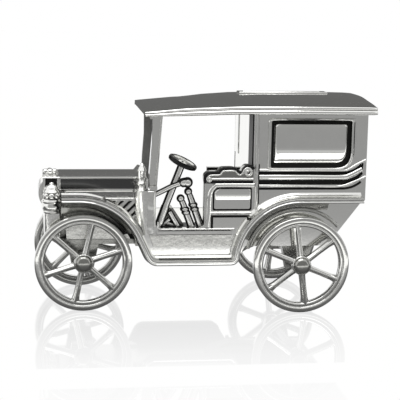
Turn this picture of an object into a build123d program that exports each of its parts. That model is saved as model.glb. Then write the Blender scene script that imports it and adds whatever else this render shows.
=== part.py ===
"""Cast-metal money box in the shape of an early chauffeur-driven limousine.

Millimetres.  +X runs to the rear of the car, +Y to its right-hand side, +Z up.
The origin is on the ground, midway along and across the whole model.
"""

import os
from math import cos, radians, sin, sqrt, tan

from build123d import *

os.makedirs("parts", exist_ok=True)

# ---- Driving dimensions -------------------------------------------------------------

# Wheels and axles
wheel_r = 18.0
wheel_width = 3.4
rim_inner_r = 14.4
tyre_inner_r = 15.7
spoke_count = 6
spoke_width = 2.3
hub_r = 3.6
hub_length = 4.4
axle_r = 1.5
running_clearance = 0.05
end_play = 0.1
front_axle_x = -45.2
rear_axle_x = 35.2
front_half_track = 20.2
rear_half_track = 27.5

# Levels
base_z = 24.0
base_t = 2.0
floor_z = 31.0
floor_t = 1.5
roof_under_z = 74.0
roof_under_front_z = 72.8

# Body
side_y = 22.0
side_t = 2.0
body_rear_x = 60.3
body_front_x = -21.5
doorway_front_x = -18.8
door_post_x = 17.4
seat_front_x = -0.7
right_opening_rear_x = 6.0
seat_rail_z = 47.8
sill_bottom_z = 17.9
tail_top_z = 41.3
tail_curve = [(58.4, 40.0), (50.6, 29.8)]
partition_t = 1.5
panel_t = 2.0

# Engine bay, bonnet and radiator
bonnet_half_w = 10.0
bonnet_top_z = 48.5
bonnet_bottom_z = 43.2
bonnet_front_x = -53.8
bulkhead_front_x = -26.0
bulkhead_bottom_z = 28.5
bulkhead_top_z = 45.0
radiator_front_x = -60.0
bay_half_w = 15.6
louvre_t = 1.2
bay_top_z = 41.3
bay_front_x = -51.5

# Wings and running boards
wing_outer_y = 27.0
wing_t = 1.9
running_board_z = 19.8
front_wing_center = (-47.0, 18.4)
front_wing_r = 25.0
front_wing_end_angle = 25.0
wing_front_x = -53.4
rear_wing_center = (34.5, 18.4)
rear_wing_r = 24.5
wing_rear_x = 58.6
bead_proud = 0.35
bead_width = 0.6

# Roof
roof_half_w = 24.5
roof_front_x = -23.2
roof_rear_x = 63.2
slot_center_x = 31.7
slot_length = 30.0
slot_width = 3.2
slot_rim_length = 34.6
slot_rim_width = 6.0

# Stopper in the base
stopper_x = 18.2
stopper_r = 13.2
stopper_flange_r = 14.4

wall = 1.5


# ---- Helpers ------------------------------------------------------------------------

def finish(part, label):
    """Name a finished piece and write it as a STEP file."""
    part.label = label
    export_step(part, f"parts/{label}.step")


def mirrored(part):
    """The same piece for the other side of the car."""
    return mirror(part, about=Plane.XZ)


def side_plane(y):
    """A drawing plane parallel to the car's side, seen from the left, at this y."""
    return Plane(origin=(0, y, 0), x_dir=(1, 0, 0), z_dir=(0, -1, 0))


# ---- Base, floor and fastenings -----------------------------------------------------

base_front_x = -53.8
base_rear_x = 46.0
base_rear_half_w = side_y - side_t
screw_spots = [(-23.8, -13.0), (-23.8, 13.0), (43.0, -14.0), (43.0, 14.0)]
screw_shank_r = 1.0
screw_head_r = 2.0
screw_head_t = 1.0
screw_slot = 0.5
screw_length = 5.0

with BuildPart() as base_plate:
    with BuildSketch(Plane.XY.offset(base_z)):
        with BuildLine():
            Polyline(
                (base_front_x, -bay_half_w),
                (bulkhead_front_x, -bay_half_w),
                (bulkhead_front_x, -base_rear_half_w),
                (base_rear_x, -base_rear_half_w),
                (base_rear_x, base_rear_half_w),
                (bulkhead_front_x, base_rear_half_w),
                (bulkhead_front_x, bay_half_w),
                (base_front_x, bay_half_w),
                close=True,
            )
        make_face()
        with Locations((stopper_x, 0)):
            Circle(stopper_r, mode=Mode.SUBTRACT)
        with Locations(*screw_spots):
            Circle(screw_shank_r, mode=Mode.SUBTRACT)
    extrude(amount=base_t)
finish(base_plate.part, "base_plate")

with BuildPart() as base_screws:
    with BuildSketch(Plane.XY.offset(base_z - screw_head_t)):
        with Locations(*screw_spots):
            Circle(screw_head_r)
    extrude(amount=screw_head_t)
    fillet(base_screws.edges().group_by(Axis.Z)[0], 0.4)
    with BuildSketch(Plane.XY.offset(base_z)):
        with Locations(*screw_spots):
            Circle(screw_shank_r)
    extrude(amount=screw_length)
    with BuildSketch(Plane.XY.offset(base_z - screw_head_t)):
        with Locations(*screw_spots):
            Rectangle(2 * screw_head_r, screw_slot)
    extrude(amount=screw_slot, mode=Mode.SUBTRACT)
finish(base_screws.part, "base_screws")

boss_r = 2.5
boss_height = 4.0
underfloor_z = base_z + base_t

with BuildPart() as floor_plate:
    with BuildSketch(Plane.XY.offset(floor_z - floor_t)):
        with Locations(((body_front_x + door_post_x + partition_t) / 2, 0)):
            Rectangle(door_post_x + partition_t - body_front_x, 2 * base_rear_half_w)
    extrude(amount=floor_t)
finish(floor_plate.part, "floor_plate")

# ---- Axle brackets and axles --------------------------------------------------------

bracket_top_w = 11.6
bracket_bottom_w = 8.0
bracket_bottom_z = 14.8
bracket_web_t = 1.6


def axle_bracket(axle_x, cheek_inner, cheek_outer, webbed):
    """Two tapered cheeks under the base that hold the axle."""
    with BuildPart() as bracket:
        for near, far in ((-cheek_outer, -cheek_inner), (cheek_inner, cheek_outer)):
            with BuildSketch(side_plane(near)):
                with BuildLine():
                    Polyline(
                        (axle_x - bracket_top_w / 2, base_z),
                        (axle_x - bracket_bottom_w / 2, bracket_bottom_z),
                        (axle_x + bracket_bottom_w / 2, bracket_bottom_z),
                        (axle_x + bracket_top_w / 2, base_z),
                        close=True,
                    )
                make_face()
                with Locations((axle_x, wheel_r)):
                    Circle(axle_r, mode=Mode.SUBTRACT)
            extrude(amount=near - far)
        if webbed:
            with BuildSketch(Plane.XY.offset(base_z - bracket_web_t)):
                with Locations((axle_x, 0)):
                    Rectangle(bracket_bottom_w, 2 * cheek_inner)
            extrude(amount=bracket_web_t)
    return bracket.part


front_cheek = (10.5, 15.0)
rear_cheek = (15.5, 20.0)
front_bracket = axle_bracket(front_axle_x, *front_cheek, webbed=True)
finish(front_bracket, "front_axle_bracket")
rear_bracket = axle_bracket(rear_axle_x, *rear_cheek, webbed=False)
finish(rear_bracket, "rear_axle_brackets")

collar_r = 2.4
cap_r = 2.7
cap_height = 1.3
axle_grip = 0.8


def axle(axle_x, half_track, cheek_outer):
    """A plain axle with a collar between each bracket cheek and wheel hub."""
    hub_inner = half_track - hub_length / 2
    half_length = half_track + hub_length / 2 + end_play + axle_grip
    with BuildPart() as shaft:
        with BuildSketch(side_plane(half_length)):
            with Locations((axle_x, wheel_r)):
                Circle(axle_r)
        extrude(amount=2 * half_length)
        for start in (-cheek_outer, hub_inner - end_play):
            with BuildSketch(side_plane(start)):
                with Locations((axle_x, wheel_r)):
                    Circle(collar_r)
            extrude(amount=hub_inner - end_play - cheek_outer)
    return shaft.part


def axle_caps(axle_x, half_track):
    """A domed cap pressed on each end of the axle keeps the wheel on."""
    inner = half_track + hub_length / 2 + end_play
    with BuildPart() as caps:
        with BuildSketch(side_plane(-inner)):
            with Locations((axle_x, wheel_r)):
                Circle(cap_r)
        extrude(amount=cap_height)
        outer_rim = caps.edges().filter_by(GeomType.CIRCLE).sort_by(Axis.Y)[0]
        fillet(outer_rim, 0.9)
        with BuildSketch(side_plane(-inner)):
            with Locations((axle_x, wheel_r)):
                Circle(axle_r)
        extrude(amount=axle_grip, mode=Mode.SUBTRACT)
        mirror(about=Plane.XZ)
    return caps.part


finish(axle(front_axle_x, front_half_track, front_cheek[1]), "front_axle")
finish(axle(rear_axle_x, rear_half_track, rear_cheek[1]), "rear_axle")
finish(axle_caps(front_axle_x, front_half_track), "front_axle_caps")
finish(axle_caps(rear_axle_x, rear_half_track), "rear_axle_caps")

# ---- Wheels -------------------------------------------------------------------------

felloe_width = 2.8
spoke_depth = 1.8
spoke_ridge_r = 0.6


def wheel(axle_x, y, phase):
    """One cast wheel: tyre band, felloe, six ridged spokes and a hub."""
    mid_r = (rim_inner_r + tyre_inner_r) / 2
    with BuildPart() as cast:
        with BuildSketch(side_plane(y + wheel_width / 2)):
            with Locations((axle_x, wheel_r)):
                Circle(wheel_r)
                Circle(tyre_inner_r, mode=Mode.SUBTRACT)
        extrude(amount=wheel_width)
        chamfer(cast.edges().filter_by(GeomType.CIRCLE), 0.3)
        with BuildSketch(side_plane(y + felloe_width / 2)):
            with Locations((axle_x, wheel_r)):
                Circle(tyre_inner_r)
                Circle(rim_inner_r, mode=Mode.SUBTRACT)
        extrude(amount=felloe_width)
        with BuildSketch(side_plane(y + spoke_depth / 2)):
            with Locations((axle_x, wheel_r)):
                with PolarLocations(0, spoke_count, start_angle=phase):
                    with Locations((mid_r / 2, 0)):
                        Rectangle(mid_r, spoke_width)
        extrude(amount=spoke_depth)
        with BuildSketch(side_plane(y + spoke_depth / 2 + spoke_ridge_r)):
            with Locations((axle_x, wheel_r)):
                with PolarLocations(0, spoke_count, start_angle=phase):
                    with Locations((mid_r / 2, 0)):
                        Rectangle(mid_r, 2 * spoke_ridge_r)
        extrude(amount=spoke_depth + 2 * spoke_ridge_r)
        with BuildSketch(side_plane(y + hub_length / 2)):
            with Locations((axle_x, wheel_r)):
                Circle(hub_r)
        extrude(amount=hub_length)
        with BuildSketch(side_plane(y + hub_length / 2)):
            with Locations((axle_x, wheel_r)):
                Circle(axle_r + running_clearance)
        extrude(amount=hub_length, mode=Mode.SUBTRACT)
    return cast.part


wheels = {
    "front_left_wheel": (front_axle_x, -front_half_track, 18.0),
    "front_right_wheel": (front_axle_x, front_half_track, 45.0),
    "rear_left_wheel": (rear_axle_x, -rear_half_track, 37.5),
    "rear_right_wheel": (rear_axle_x, rear_half_track, 22.0),
}
for wheel_name, (x, y, phase) in wheels.items():
    finish(wheel(x, y, phase), wheel_name)

# ---- Body sides ---------------------------------------------------------------------

window_x = (23.7, 55.3)
window_z = (53.6, 71.3)
panel_x = (24.8, 52.9)
panel_z = (54.9, 69.9)
recess_depth = 1.2
door_panel_x = (2.3, 17.0)
door_panel_z = (37.6, 46.2)
door_panel_gap = 0.6
groove_depth = 0.9
belt_front_x = 19.6
belt_bend_x = 51.5
belt_end_x = 58.4
# Each belt line: height, rise at the tail, width
belt_grooves = [(51.5, 3.5, 1.5), (48.2, 3.8, 1.8), (45.8, 2.6, 0.9)]
belt_beads = [(52.6, 3.7, 0.5), (49.9, 3.4, 1.2), (46.9, 2.9, 0.8)]
post_bead_x = 18.6
post_bead_z = (40.0, 74.0)
post_groove_x = 19.5
post_groove_z = (39.4, 55.0)
sill_step_x = (-18.5, 9.5)
sill_step_z = (28.8, 30.0)
sill_step_proud = 0.5


def box_between(x_range, z_range):
    """A rectangle in a side view, given by the ends of its two ranges."""
    with BuildSketch(mode=Mode.PRIVATE) as box:
        with Locations(((x_range[0] + x_range[1]) / 2, (z_range[0] + z_range[1]) / 2)):
            Rectangle(x_range[1] - x_range[0], z_range[1] - z_range[0])
    return box.sketch


def belt_line(z, rise, width, front_x=belt_front_x):
    """One belt line: level along the cabin, then sweeping up towards the tail."""
    with BuildSketch(mode=Mode.PRIVATE) as belt:
        with BuildLine():
            Line((front_x, z), (belt_bend_x, z))
            TangentArc((belt_bend_x, z), (belt_end_x, z + rise), tangent=(1, 0))
        trace(line_width=width)
    return belt.sketch


def rounded_panel(x_range, z_range, corner_r, round_corner, round_r):
    """An upright rectangle with three small corners and one large one."""
    center = ((x_range[0] + x_range[1]) / 2, (z_range[0] + z_range[1]) / 2)
    with BuildSketch(mode=Mode.PRIVATE) as panel:
        with Locations(center):
            Rectangle(x_range[1] - x_range[0], z_range[1] - z_range[0])
        fillet(panel.vertices().sort_by_distance(round_corner)[0], round_r)
        fillet(panel.vertices().sort_by_distance(round_corner)[2:], corner_r)
    return panel.sketch


def window_shape(x_range, z_range, rear_r):
    """The cabin window outline, roundest at its lower rear corner."""
    return rounded_panel(x_range, z_range, 0.8, (x_range[1], z_range[0]), rear_r)


def door_panel_shape(gap=0.0):
    """The lower panel in front of the door post, roundest at its upper front corner."""
    x_range = (door_panel_x[0] + gap, door_panel_x[1] - gap)
    z_range = (door_panel_z[0] + gap, door_panel_z[1] - gap)
    return rounded_panel(x_range, z_range, 0.6, (x_range[0], z_range[1]), 2.2 - gap)


def body_side(opening_rear_x):
    """The left side wall: cowl, sill, door post, cabin wall and tail."""
    outer = side_plane(-side_y)
    with BuildPart() as side:
        with BuildSketch(side_plane(side_t - side_y)):
            with BuildLine():
                Polyline(
                    (body_front_x, bulkhead_top_z),
                    (doorway_front_x, bulkhead_top_z),
                    (doorway_front_x, floor_z),
                    (opening_rear_x, floor_z),
                    (opening_rear_x, seat_rail_z),
                    (door_post_x, seat_rail_z),
                    (door_post_x, roof_under_z),
                    (body_rear_x, roof_under_z),
                    (body_rear_x, tail_top_z),
                    *tail_curve,
                    (base_rear_x, base_z),
                    (14.9, base_z),
                    (12.3, 19.6),
                    (11.4, sill_bottom_z),
                    (-20.4, sill_bottom_z),
                    (-24.6, 26.5),
                    (-25.6, bulkhead_bottom_z),
                    (body_front_x, bulkhead_bottom_z),
                    close=True,
                )
            make_face()
        extrude(amount=side_t)
        doorway = side.edges().filter_by(Axis.Y)
        fillet(doorway.filter_by_position(Axis.Z, floor_z - 0.1, floor_z + 0.1), 2.0)

        # Window recess with a raised bead around it
        with BuildSketch(outer):
            add(window_shape(window_x, window_z, 6.0))
        extrude(amount=-recess_depth, mode=Mode.SUBTRACT)
        with BuildSketch(outer):
            bead_x = (window_x[0] - 0.7, window_x[1] + 0.5)
            bead_z = (window_z[0] - 0.4, window_z[1] + 0.8)
            add(window_shape(bead_x, bead_z, 6.4))
            add(window_shape(window_x, window_z, 6.0), mode=Mode.SUBTRACT)
        extrude(amount=bead_proud)

        # Belt lines
        for line in belt_grooves:
            with BuildSketch(outer):
                add(belt_line(*line))
            extrude(amount=-groove_depth, mode=Mode.SUBTRACT)
        for line in belt_beads:
            with BuildSketch(outer):
                add(belt_line(*line))
            extrude(amount=bead_proud)
        with BuildSketch(outer):
            with Locations((58.6, 53.2)):
                Rectangle(0.7, 4.4, rotation=-6)
        extrude(amount=-groove_depth, mode=Mode.SUBTRACT)

        # Bead and groove down the door post
        with BuildSketch(outer):
            add(box_between((post_bead_x - 0.4, post_bead_x + 0.4), post_bead_z))
        extrude(amount=bead_proud)
        with BuildSketch(outer):
            add(box_between((post_groove_x - 0.2, post_groove_x + 0.2), post_groove_z))
        extrude(amount=-groove_depth, mode=Mode.SUBTRACT)

        # Sill step under the doorway
        with BuildSketch(outer):
            add(box_between(sill_step_x, sill_step_z))
        extrude(amount=sill_step_proud)

        if opening_rear_x < door_panel_x[0]:
            with BuildSketch(outer):
                add(door_panel_shape())
            extrude(amount=-recess_depth, mode=Mode.SUBTRACT)
            with BuildSketch(outer):
                add(door_panel_shape(door_panel_gap))
            extrude(amount=-recess_depth)
            with BuildSketch(outer):
                with Locations((9.0, 35.4)):
                    Rectangle(14.4, 0.9)
                with Locations((2.2, 32.2)):
                    Rectangle(0.9, 7.0)
            extrude(amount=-groove_depth, mode=Mode.SUBTRACT)
    return side.part


left_side = body_side(seat_front_x)
finish(left_side, "left_body_side")
finish(mirrored(body_side(right_opening_rear_x)), "right_body_side")

# The bulged blanks that fill the cabin windows
window_panel_t = 1.1

with BuildPart() as window_panel:
    with BuildSketch(side_plane(recess_depth - side_y)):
        add(window_shape(panel_x, panel_z, 4.2))
    extrude(amount=window_panel_t)
    fillet(window_panel.faces().sort_by(Axis.Y)[0].edges(), 0.6)
finish(window_panel.part, "left_window_panel")
finish(mirrored(window_panel.part), "right_window_panel")

# ---- Cabin ends ---------------------------------------------------------------------

# A raised return runs up each side of the partition, above the seat
return_w = 7.5
return_t = 0.3
return_z = 54.4

with BuildPart() as partition:
    with BuildSketch(Plane.YZ.offset(door_post_x)):
        with Locations((0, (floor_z + roof_under_z) / 2)):
            Rectangle(2 * base_rear_half_w, roof_under_z - floor_z)
    extrude(amount=partition_t)
    with BuildSketch(Plane.YZ.offset(door_post_x)):
        for y in (-1, 1):
            with Locations((y * (base_rear_half_w - return_w / 2), (return_z + roof_under_z) / 2)):
                Rectangle(return_w, roof_under_z - return_z)
    extrude(amount=-return_t)
finish(partition.part, "partition")

rear_window_z = (panel_z[0] + panel_z[1]) / 2
rear_window_size = (22.6, 13.6)
rear_frame_w = 0.7
rear_panel_gap = 1.0
rear_belt_drop = 3.0

with BuildPart() as rear_panel:
    with BuildSketch(Plane.YZ.offset(body_rear_x - panel_t)):
        with Locations((0, (tail_top_z + roof_under_z) / 2)):
            Rectangle(2 * base_rear_half_w, roof_under_z - tail_top_z)
    extrude(amount=panel_t)
    with BuildSketch(Plane.YZ.offset(body_rear_x)):
        with Locations((0, rear_window_z)):
            RectangleRounded(*(side + 2 * rear_frame_w for side in rear_window_size), 2.2)
            RectangleRounded(*rear_window_size, 1.6, mode=Mode.SUBTRACT)
    extrude(amount=bead_proud)
    with BuildSketch(Plane.YZ.offset(body_rear_x)):
        with Locations((0, rear_window_z)):
            RectangleRounded(*rear_window_size, 1.6)
    extrude(amount=-recess_depth, mode=Mode.SUBTRACT)
    for z, rise, width in belt_grooves:
        with BuildSketch(Plane.YZ.offset(body_rear_x)):
            with Locations((0, z + rise - rear_belt_drop)):
                Rectangle(2 * base_rear_half_w, width)
        extrude(amount=-groove_depth, mode=Mode.SUBTRACT)
finish(rear_panel.part, "rear_panel")

with BuildPart() as rear_window_panel:
    with BuildSketch(Plane.YZ.offset(body_rear_x - recess_depth)):
        with Locations((0, rear_window_z)):
            RectangleRounded(*(side - 2 * rear_panel_gap for side in rear_window_size), 1.4)
    extrude(amount=window_panel_t)
    fillet(rear_window_panel.faces().sort_by(Axis.X)[-1].edges(), 0.6)
finish(rear_window_panel.part, "rear_window_panel")

tail_foot_t = 1.5

with BuildPart() as tail_panel:
    with BuildSketch(Plane.XZ.offset(-base_rear_half_w)):
        with BuildLine():
            Polyline(
                (body_rear_x, tail_top_z),
                *tail_curve,
                (47.4, underfloor_z),
                (40.0, underfloor_z),
                (40.0, underfloor_z + tail_foot_t),
                (46.5, underfloor_z + tail_foot_t),
                (49.3, 30.7),
                (56.4, tail_top_z),
                close=True,
            )
        make_face()
    extrude(amount=2 * base_rear_half_w)
    with BuildSketch(Plane.XY.offset(underfloor_z)):
        with Locations(*screw_spots[2:]):
            Circle(boss_r)
    extrude(amount=boss_height)
    with BuildSketch(Plane.XY.offset(underfloor_z)):
        with Locations(*screw_spots[2:]):
            Circle(screw_shank_r)
    extrude(amount=boss_height, mode=Mode.SUBTRACT)
finish(tail_panel.part, "tail_panel")

# ---- Bulkhead, scuttle and windscreen -----------------------------------------------

scuttle_front_x = -24.6
scuttle_rear_x = -22.4
scuttle_rear_top_z = 48.9
bulkhead_corner_r = 4.2

with BuildPart() as bulkhead:
    with BuildSketch(Plane.XY.offset(bulkhead_bottom_z)) as bulkhead_plan:
        with Locations(((bulkhead_front_x + body_front_x) / 2, 0)):
            Rectangle(body_front_x - bulkhead_front_x, 2 * side_y)
        fillet(bulkhead_plan.vertices().group_by(Axis.X)[0], bulkhead_corner_r)
    extrude(amount=bulkhead_top_z - bulkhead_bottom_z)
    with BuildSketch(Plane.XY.offset(underfloor_z)):
        with Locations(((bulkhead_front_x + body_front_x) / 2, 0)):
            Rectangle(body_front_x - bulkhead_front_x, 2 * base_rear_half_w)
    extrude(amount=bulkhead_bottom_z - underfloor_z)
    with BuildSketch(Plane.XY.offset(bonnet_bottom_z)):
        with Locations(((bulkhead_front_x + scuttle_front_x) / 2, 0)):
            Rectangle(scuttle_front_x - bulkhead_front_x, 2 * bonnet_half_w)
    extrude(amount=bulkhead_top_z - bonnet_bottom_z, mode=Mode.SUBTRACT)
    with BuildSketch(Plane.XY.offset(underfloor_z)):
        with Locations(*screw_spots[:2]):
            Circle(screw_shank_r)
    extrude(amount=screw_length, mode=Mode.SUBTRACT)
finish(bulkhead.part, "bulkhead")

with BuildPart() as scuttle:
    with BuildSketch(Plane.YZ.offset(scuttle_front_x)):
        with Locations((0, (bulkhead_top_z + bonnet_top_z) / 2)):
            Rectangle(2 * bonnet_half_w + 0.6, bonnet_top_z - bulkhead_top_z)
    with BuildSketch(Plane.YZ.offset(scuttle_rear_x)):
        with Locations((0, (bulkhead_top_z + scuttle_rear_top_z) / 2)):
            Rectangle(2 * base_rear_half_w - 0.4, scuttle_rear_top_z - bulkhead_top_z)
    loft()
    with BuildSketch(Plane.YZ.offset(scuttle_rear_x)):
        with Locations((0, (bulkhead_top_z + scuttle_rear_top_z) / 2)):
            Rectangle(2 * base_rear_half_w - 0.4, scuttle_rear_top_z - bulkhead_top_z)
    extrude(amount=body_front_x - scuttle_rear_x)
finish(scuttle.part, "scuttle")

screen_half_w = 18.2
screen_post_w = 2.2
screen_rail_x = (-20.9, -18.2)
screen_mid_x = sum(screen_rail_x) / 2
screen_rail_t = screen_rail_x[1] - screen_rail_x[0]
screen_sill_half_w = 20.6
screen_sill_z = (bulkhead_top_z, 46.4)
screen_top_rail_z = (71.2, roof_under_front_z + 0.05)

with BuildPart() as windscreen_frame:
    with BuildSketch(side_plane(-screen_half_w)):
        with BuildLine():
            Polyline(
                (screen_rail_x[0], screen_sill_z[0]),
                (-20.7, 52.0),
                (-20.0, 62.0),
                (-20.0, roof_under_front_z + 0.1),
                (-16.2, roof_under_front_z + 0.2),
                (-17.2, 60.0),
                (-17.9, 50.0),
                (screen_rail_x[1], screen_sill_z[0]),
                close=True,
            )
        make_face()
    extrude(amount=-screen_post_w)
    mirror(about=Plane.XZ)
    for (low, high), half_w in (
        (screen_sill_z, screen_sill_half_w),
        (screen_top_rail_z, screen_half_w),
    ):
        with BuildSketch(Plane.XY.offset(low)):
            with Locations((screen_mid_x, 0)):
                Rectangle(screen_rail_t, 2 * half_w)
        extrude(amount=high - low)
finish(windscreen_frame.part, "windscreen_frame")

# ---- Engine bay, bonnet and radiator ------------------------------------------------

bay_wall_inner = bay_half_w - wall
shelf_inner_y = 9.0
shelf_t = 1.2

with BuildPart() as engine_bay:
    with BuildSketch(Plane.YZ.offset(bay_front_x)):
        with BuildLine():
            Polyline(
                (bay_half_w, underfloor_z),
                (bay_half_w, bay_top_z),
                (bonnet_half_w, bonnet_bottom_z),
                (shelf_inner_y, bonnet_bottom_z),
                (shelf_inner_y, bonnet_bottom_z - shelf_t),
                (bay_wall_inner, bay_top_z - shelf_t),
                (bay_wall_inner, underfloor_z),
                close=True,
            )
        make_face()
    extrude(amount=bulkhead_front_x - bay_front_x)
    mirror(about=Plane.XZ)
    with BuildSketch(Plane.YZ.offset(bay_front_x)):
        with Locations((0, (underfloor_z + bay_top_z) / 2)):
            Rectangle(2 * bay_half_w, bay_top_z - underfloor_z)
    extrude(amount=wall)
finish(engine_bay.part, "engine_bay")

slat_count = 9
slat_pitch = 3.0
slat_width = 1.2
slat_length = 24.0
slat_proud = 0.5
slat_clear_r = 19.5


def louvre_panel():
    """A side valance of the engine bay with diagonal slats cast on it."""
    length = bulkhead_front_x - bay_front_x
    height = bay_top_z - underfloor_z
    center = (bay_front_x + length / 2, underfloor_z + height / 2)
    slat_spots = [(bulkhead_front_x - 1.0 - i * slat_pitch, center[1]) for i in range(slat_count)]
    with BuildPart() as panel:
        with BuildSketch(side_plane(-bay_half_w)):
            with Locations(center):
                Rectangle(length, height)
        extrude(amount=louvre_t - slat_proud)
        with BuildSketch(side_plane(slat_proud - bay_half_w - louvre_t)):
            with Locations(*slat_spots):
                Rectangle(slat_length, slat_width, rotation=45)
            with Locations(center):
                Rectangle(length, height, mode=Mode.INTERSECT)
            with Locations((center[0], bay_top_z - 0.4)):
                Rectangle(length, 0.8)
            with Locations((front_axle_x, wheel_r)):
                Circle(slat_clear_r, mode=Mode.SUBTRACT)
        extrude(amount=slat_proud)
    return panel.part


left_louvres = louvre_panel()
finish(left_louvres, "left_louvre_panel")
finish(mirrored(left_louvres), "right_louvre_panel")

with BuildPart() as bonnet:
    with BuildSketch(Plane.YZ.offset(bonnet_front_x)):
        with Locations((0, (bonnet_top_z + bonnet_bottom_z) / 2)):
            Rectangle(2 * bonnet_half_w, bonnet_top_z - bonnet_bottom_z)
    extrude(amount=scuttle_front_x - bonnet_front_x)
    fillet(bonnet.edges().filter_by(Axis.X).group_by(Axis.Z)[-1], 0.5)
    with BuildSketch(Plane.YZ.offset(bonnet_front_x + wall)):
        with Locations((0, (bonnet_top_z + bonnet_bottom_z) / 2 - wall)):
            Rectangle(2 * (bonnet_half_w - wall), bonnet_top_z - bonnet_bottom_z)
    extrude(amount=scuttle_front_x - bonnet_front_x - 2 * wall, mode=Mode.SUBTRACT)
finish(bonnet.part, "bonnet")

apron_top_z = 35.7
apron_bottom_z = 27.4
apron_half_w = 16.0
apron_front_x = -59.7

with BuildPart() as front_apron:
    with BuildSketch(Plane.XY.offset(apron_bottom_z)) as apron_plan:
        with Locations(((apron_front_x + bonnet_front_x) / 2, 0)):
            Rectangle(bonnet_front_x - apron_front_x, 2 * apron_half_w)
        fillet(apron_plan.vertices().group_by(Axis.X)[0], 2.4)
    extrude(amount=apron_top_z - apron_bottom_z)
    with BuildSketch(Plane.XY.offset(apron_bottom_z)):
        with Locations(((apron_front_x + bonnet_front_x) / 2 + wall, 0)):
            Rectangle(bonnet_front_x - apron_front_x, 2 * (apron_half_w - wall))
    extrude(amount=apron_top_z - apron_bottom_z - wall, mode=Mode.SUBTRACT)
finish(front_apron.part, "front_apron")

apron_strut_t = 2.3
apron_strut_w = 4.0
apron_strut_y = 11.0

with BuildPart() as front_struts:
    with BuildSketch(Plane.XY.offset(underfloor_z)):
        for y in (-apron_strut_y, apron_strut_y):
            with Locations((bay_front_x - apron_strut_t / 2, y)):
                Rectangle(apron_strut_t, apron_strut_w)
    extrude(amount=apron_top_z - underfloor_z)
finish(front_struts.part, "front_struts")

radiator_rail = 1.5
side_light_x = (-59.1, -54.7)
side_light_z = (43.5, 47.9)
side_light_depth = 0.5

with BuildPart() as radiator_shell:
    with BuildSketch(Plane.YZ.offset(radiator_front_x)):
        with Locations((0, (apron_top_z + bonnet_top_z) / 2)):
            Rectangle(2 * bonnet_half_w, bonnet_top_z - apron_top_z)
    extrude(amount=bonnet_front_x - radiator_front_x)
    fillet(radiator_shell.edges().filter_by(Axis.X).group_by(Axis.Z)[-1], 0.6)
    with BuildSketch(Plane.YZ.offset(radiator_front_x)):
        with Locations((0, (apron_top_z + bonnet_top_z) / 2)):
            Rectangle(
                2 * (bonnet_half_w - radiator_rail),
                bonnet_top_z - apron_top_z - 2 * radiator_rail,
            )
    extrude(amount=bonnet_front_x - radiator_front_x - wall, mode=Mode.SUBTRACT)
    for start_y in (-bonnet_half_w, bonnet_half_w - side_light_depth):
        with BuildSketch(side_plane(start_y)):
            add(box_between(side_light_x, side_light_z))
        extrude(amount=-side_light_depth, mode=Mode.SUBTRACT)
finish(radiator_shell.part, "radiator_shell")

core_half_w = bonnet_half_w - radiator_rail
core_bottom_z = apron_top_z + radiator_rail
core_top_z = bonnet_top_z - radiator_rail
core_edge_x = radiator_front_x + 0.4
core_back_x = radiator_front_x + 2.0
core_bulge_x = radiator_front_x - 1.6
core_slot_count = 10
core_slot_pitch = 1.7
core_slot_width = 0.7
core_slot_margin = 1.5
core_slot_depth = 0.9

with BuildPart() as radiator_core:
    with BuildSketch(side_plane(core_half_w)):
        with BuildLine():
            ThreePointArc(
                (core_edge_x, core_bottom_z),
                (core_bulge_x, (core_bottom_z + core_top_z) / 2),
                (core_edge_x, core_top_z),
            )
            Polyline(
                (core_edge_x, core_top_z),
                (core_back_x, core_top_z),
                (core_back_x, core_bottom_z),
                (core_edge_x, core_bottom_z),
            )
        make_face()
    extrude(amount=2 * core_half_w)
    with BuildSketch(Plane.YZ.offset(core_bulge_x)):
        with Locations((0, (core_bottom_z + core_top_z) / 2)):
            with GridLocations(core_slot_pitch, 1, core_slot_count, 1):
                Rectangle(core_slot_width, core_top_z - core_bottom_z - 2 * core_slot_margin)
    extrude(amount=core_slot_depth, mode=Mode.SUBTRACT)
finish(radiator_core.part, "radiator_core")


def turned(center, profile):
    """A turned piece standing on this point; the profile is (radius, height) pairs."""
    with BuildPart() as piece:
        with BuildSketch(Plane(origin=center, x_dir=(1, 0, 0), z_dir=(0, -1, 0))):
            with BuildLine():
                Polyline((0, profile[0][1]), *profile, (0, profile[-1][1]), close=True)
            make_face()
        revolve(axis=Axis(center, (0, 0, 1)))
    return piece.part


cap_center = ((radiator_front_x + bonnet_front_x) / 2, 0, bonnet_top_z)
cap_profile = [(2.9, 0), (2.9, 0.5), (2.3, 0.8), (2.2, 1.3), (1.5, 1.8), (0.6, 2.0)]
finish(turned(cap_center, cap_profile), "radiator_cap")

# ---- Lamps --------------------------------------------------------------------------

headlamp_x = -56.8
headlamp_y = 13.9
headlamp_base = [(3.2, 0), (3.2, 0.7), (3.7, 1.1), (3.7, 4.6), (3.4, 4.9), (3.4, 5.4)]
headlamp_top = [(3.1, 7.8), (2.7, 8.9), (1.8, 10.2), (0.9, 10.8), (0.5, 11.4)]
headlamp_glass = [(2.5, 5.4), (2.9, 6.2), (2.5, 7.8)]
headlamp_stem_r = 1.2
cowl_lamp_x = -24.0
cowl_lamp_y = 20.3
cowl_lamp_profile = [
    (0.8, 0),
    (0.8, 4.2),
    (1.3, 4.9),
    (1.3, 7.8),
    (1.5, 8.1),
    (1.0, 9.0),
    (0.3, 10.4),
]


def headlamp_piece(profile):
    """One turned piece of the left headlamp, stacked on the apron."""
    return turned((headlamp_x, -headlamp_y, apron_top_z), profile)


with BuildPart() as headlamp:
    add(headlamp_piece(headlamp_base))
    add(headlamp_piece(headlamp_top))
    with BuildSketch(Plane.XY.offset(apron_top_z + headlamp_base[-1][1])):
        with Locations((headlamp_x, -headlamp_y)):
            Circle(headlamp_stem_r)
    extrude(amount=headlamp_top[0][1] - headlamp_base[-1][1])
finish(headlamp.part, "left_headlamp")
finish(mirrored(headlamp.part), "right_headlamp")

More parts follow.
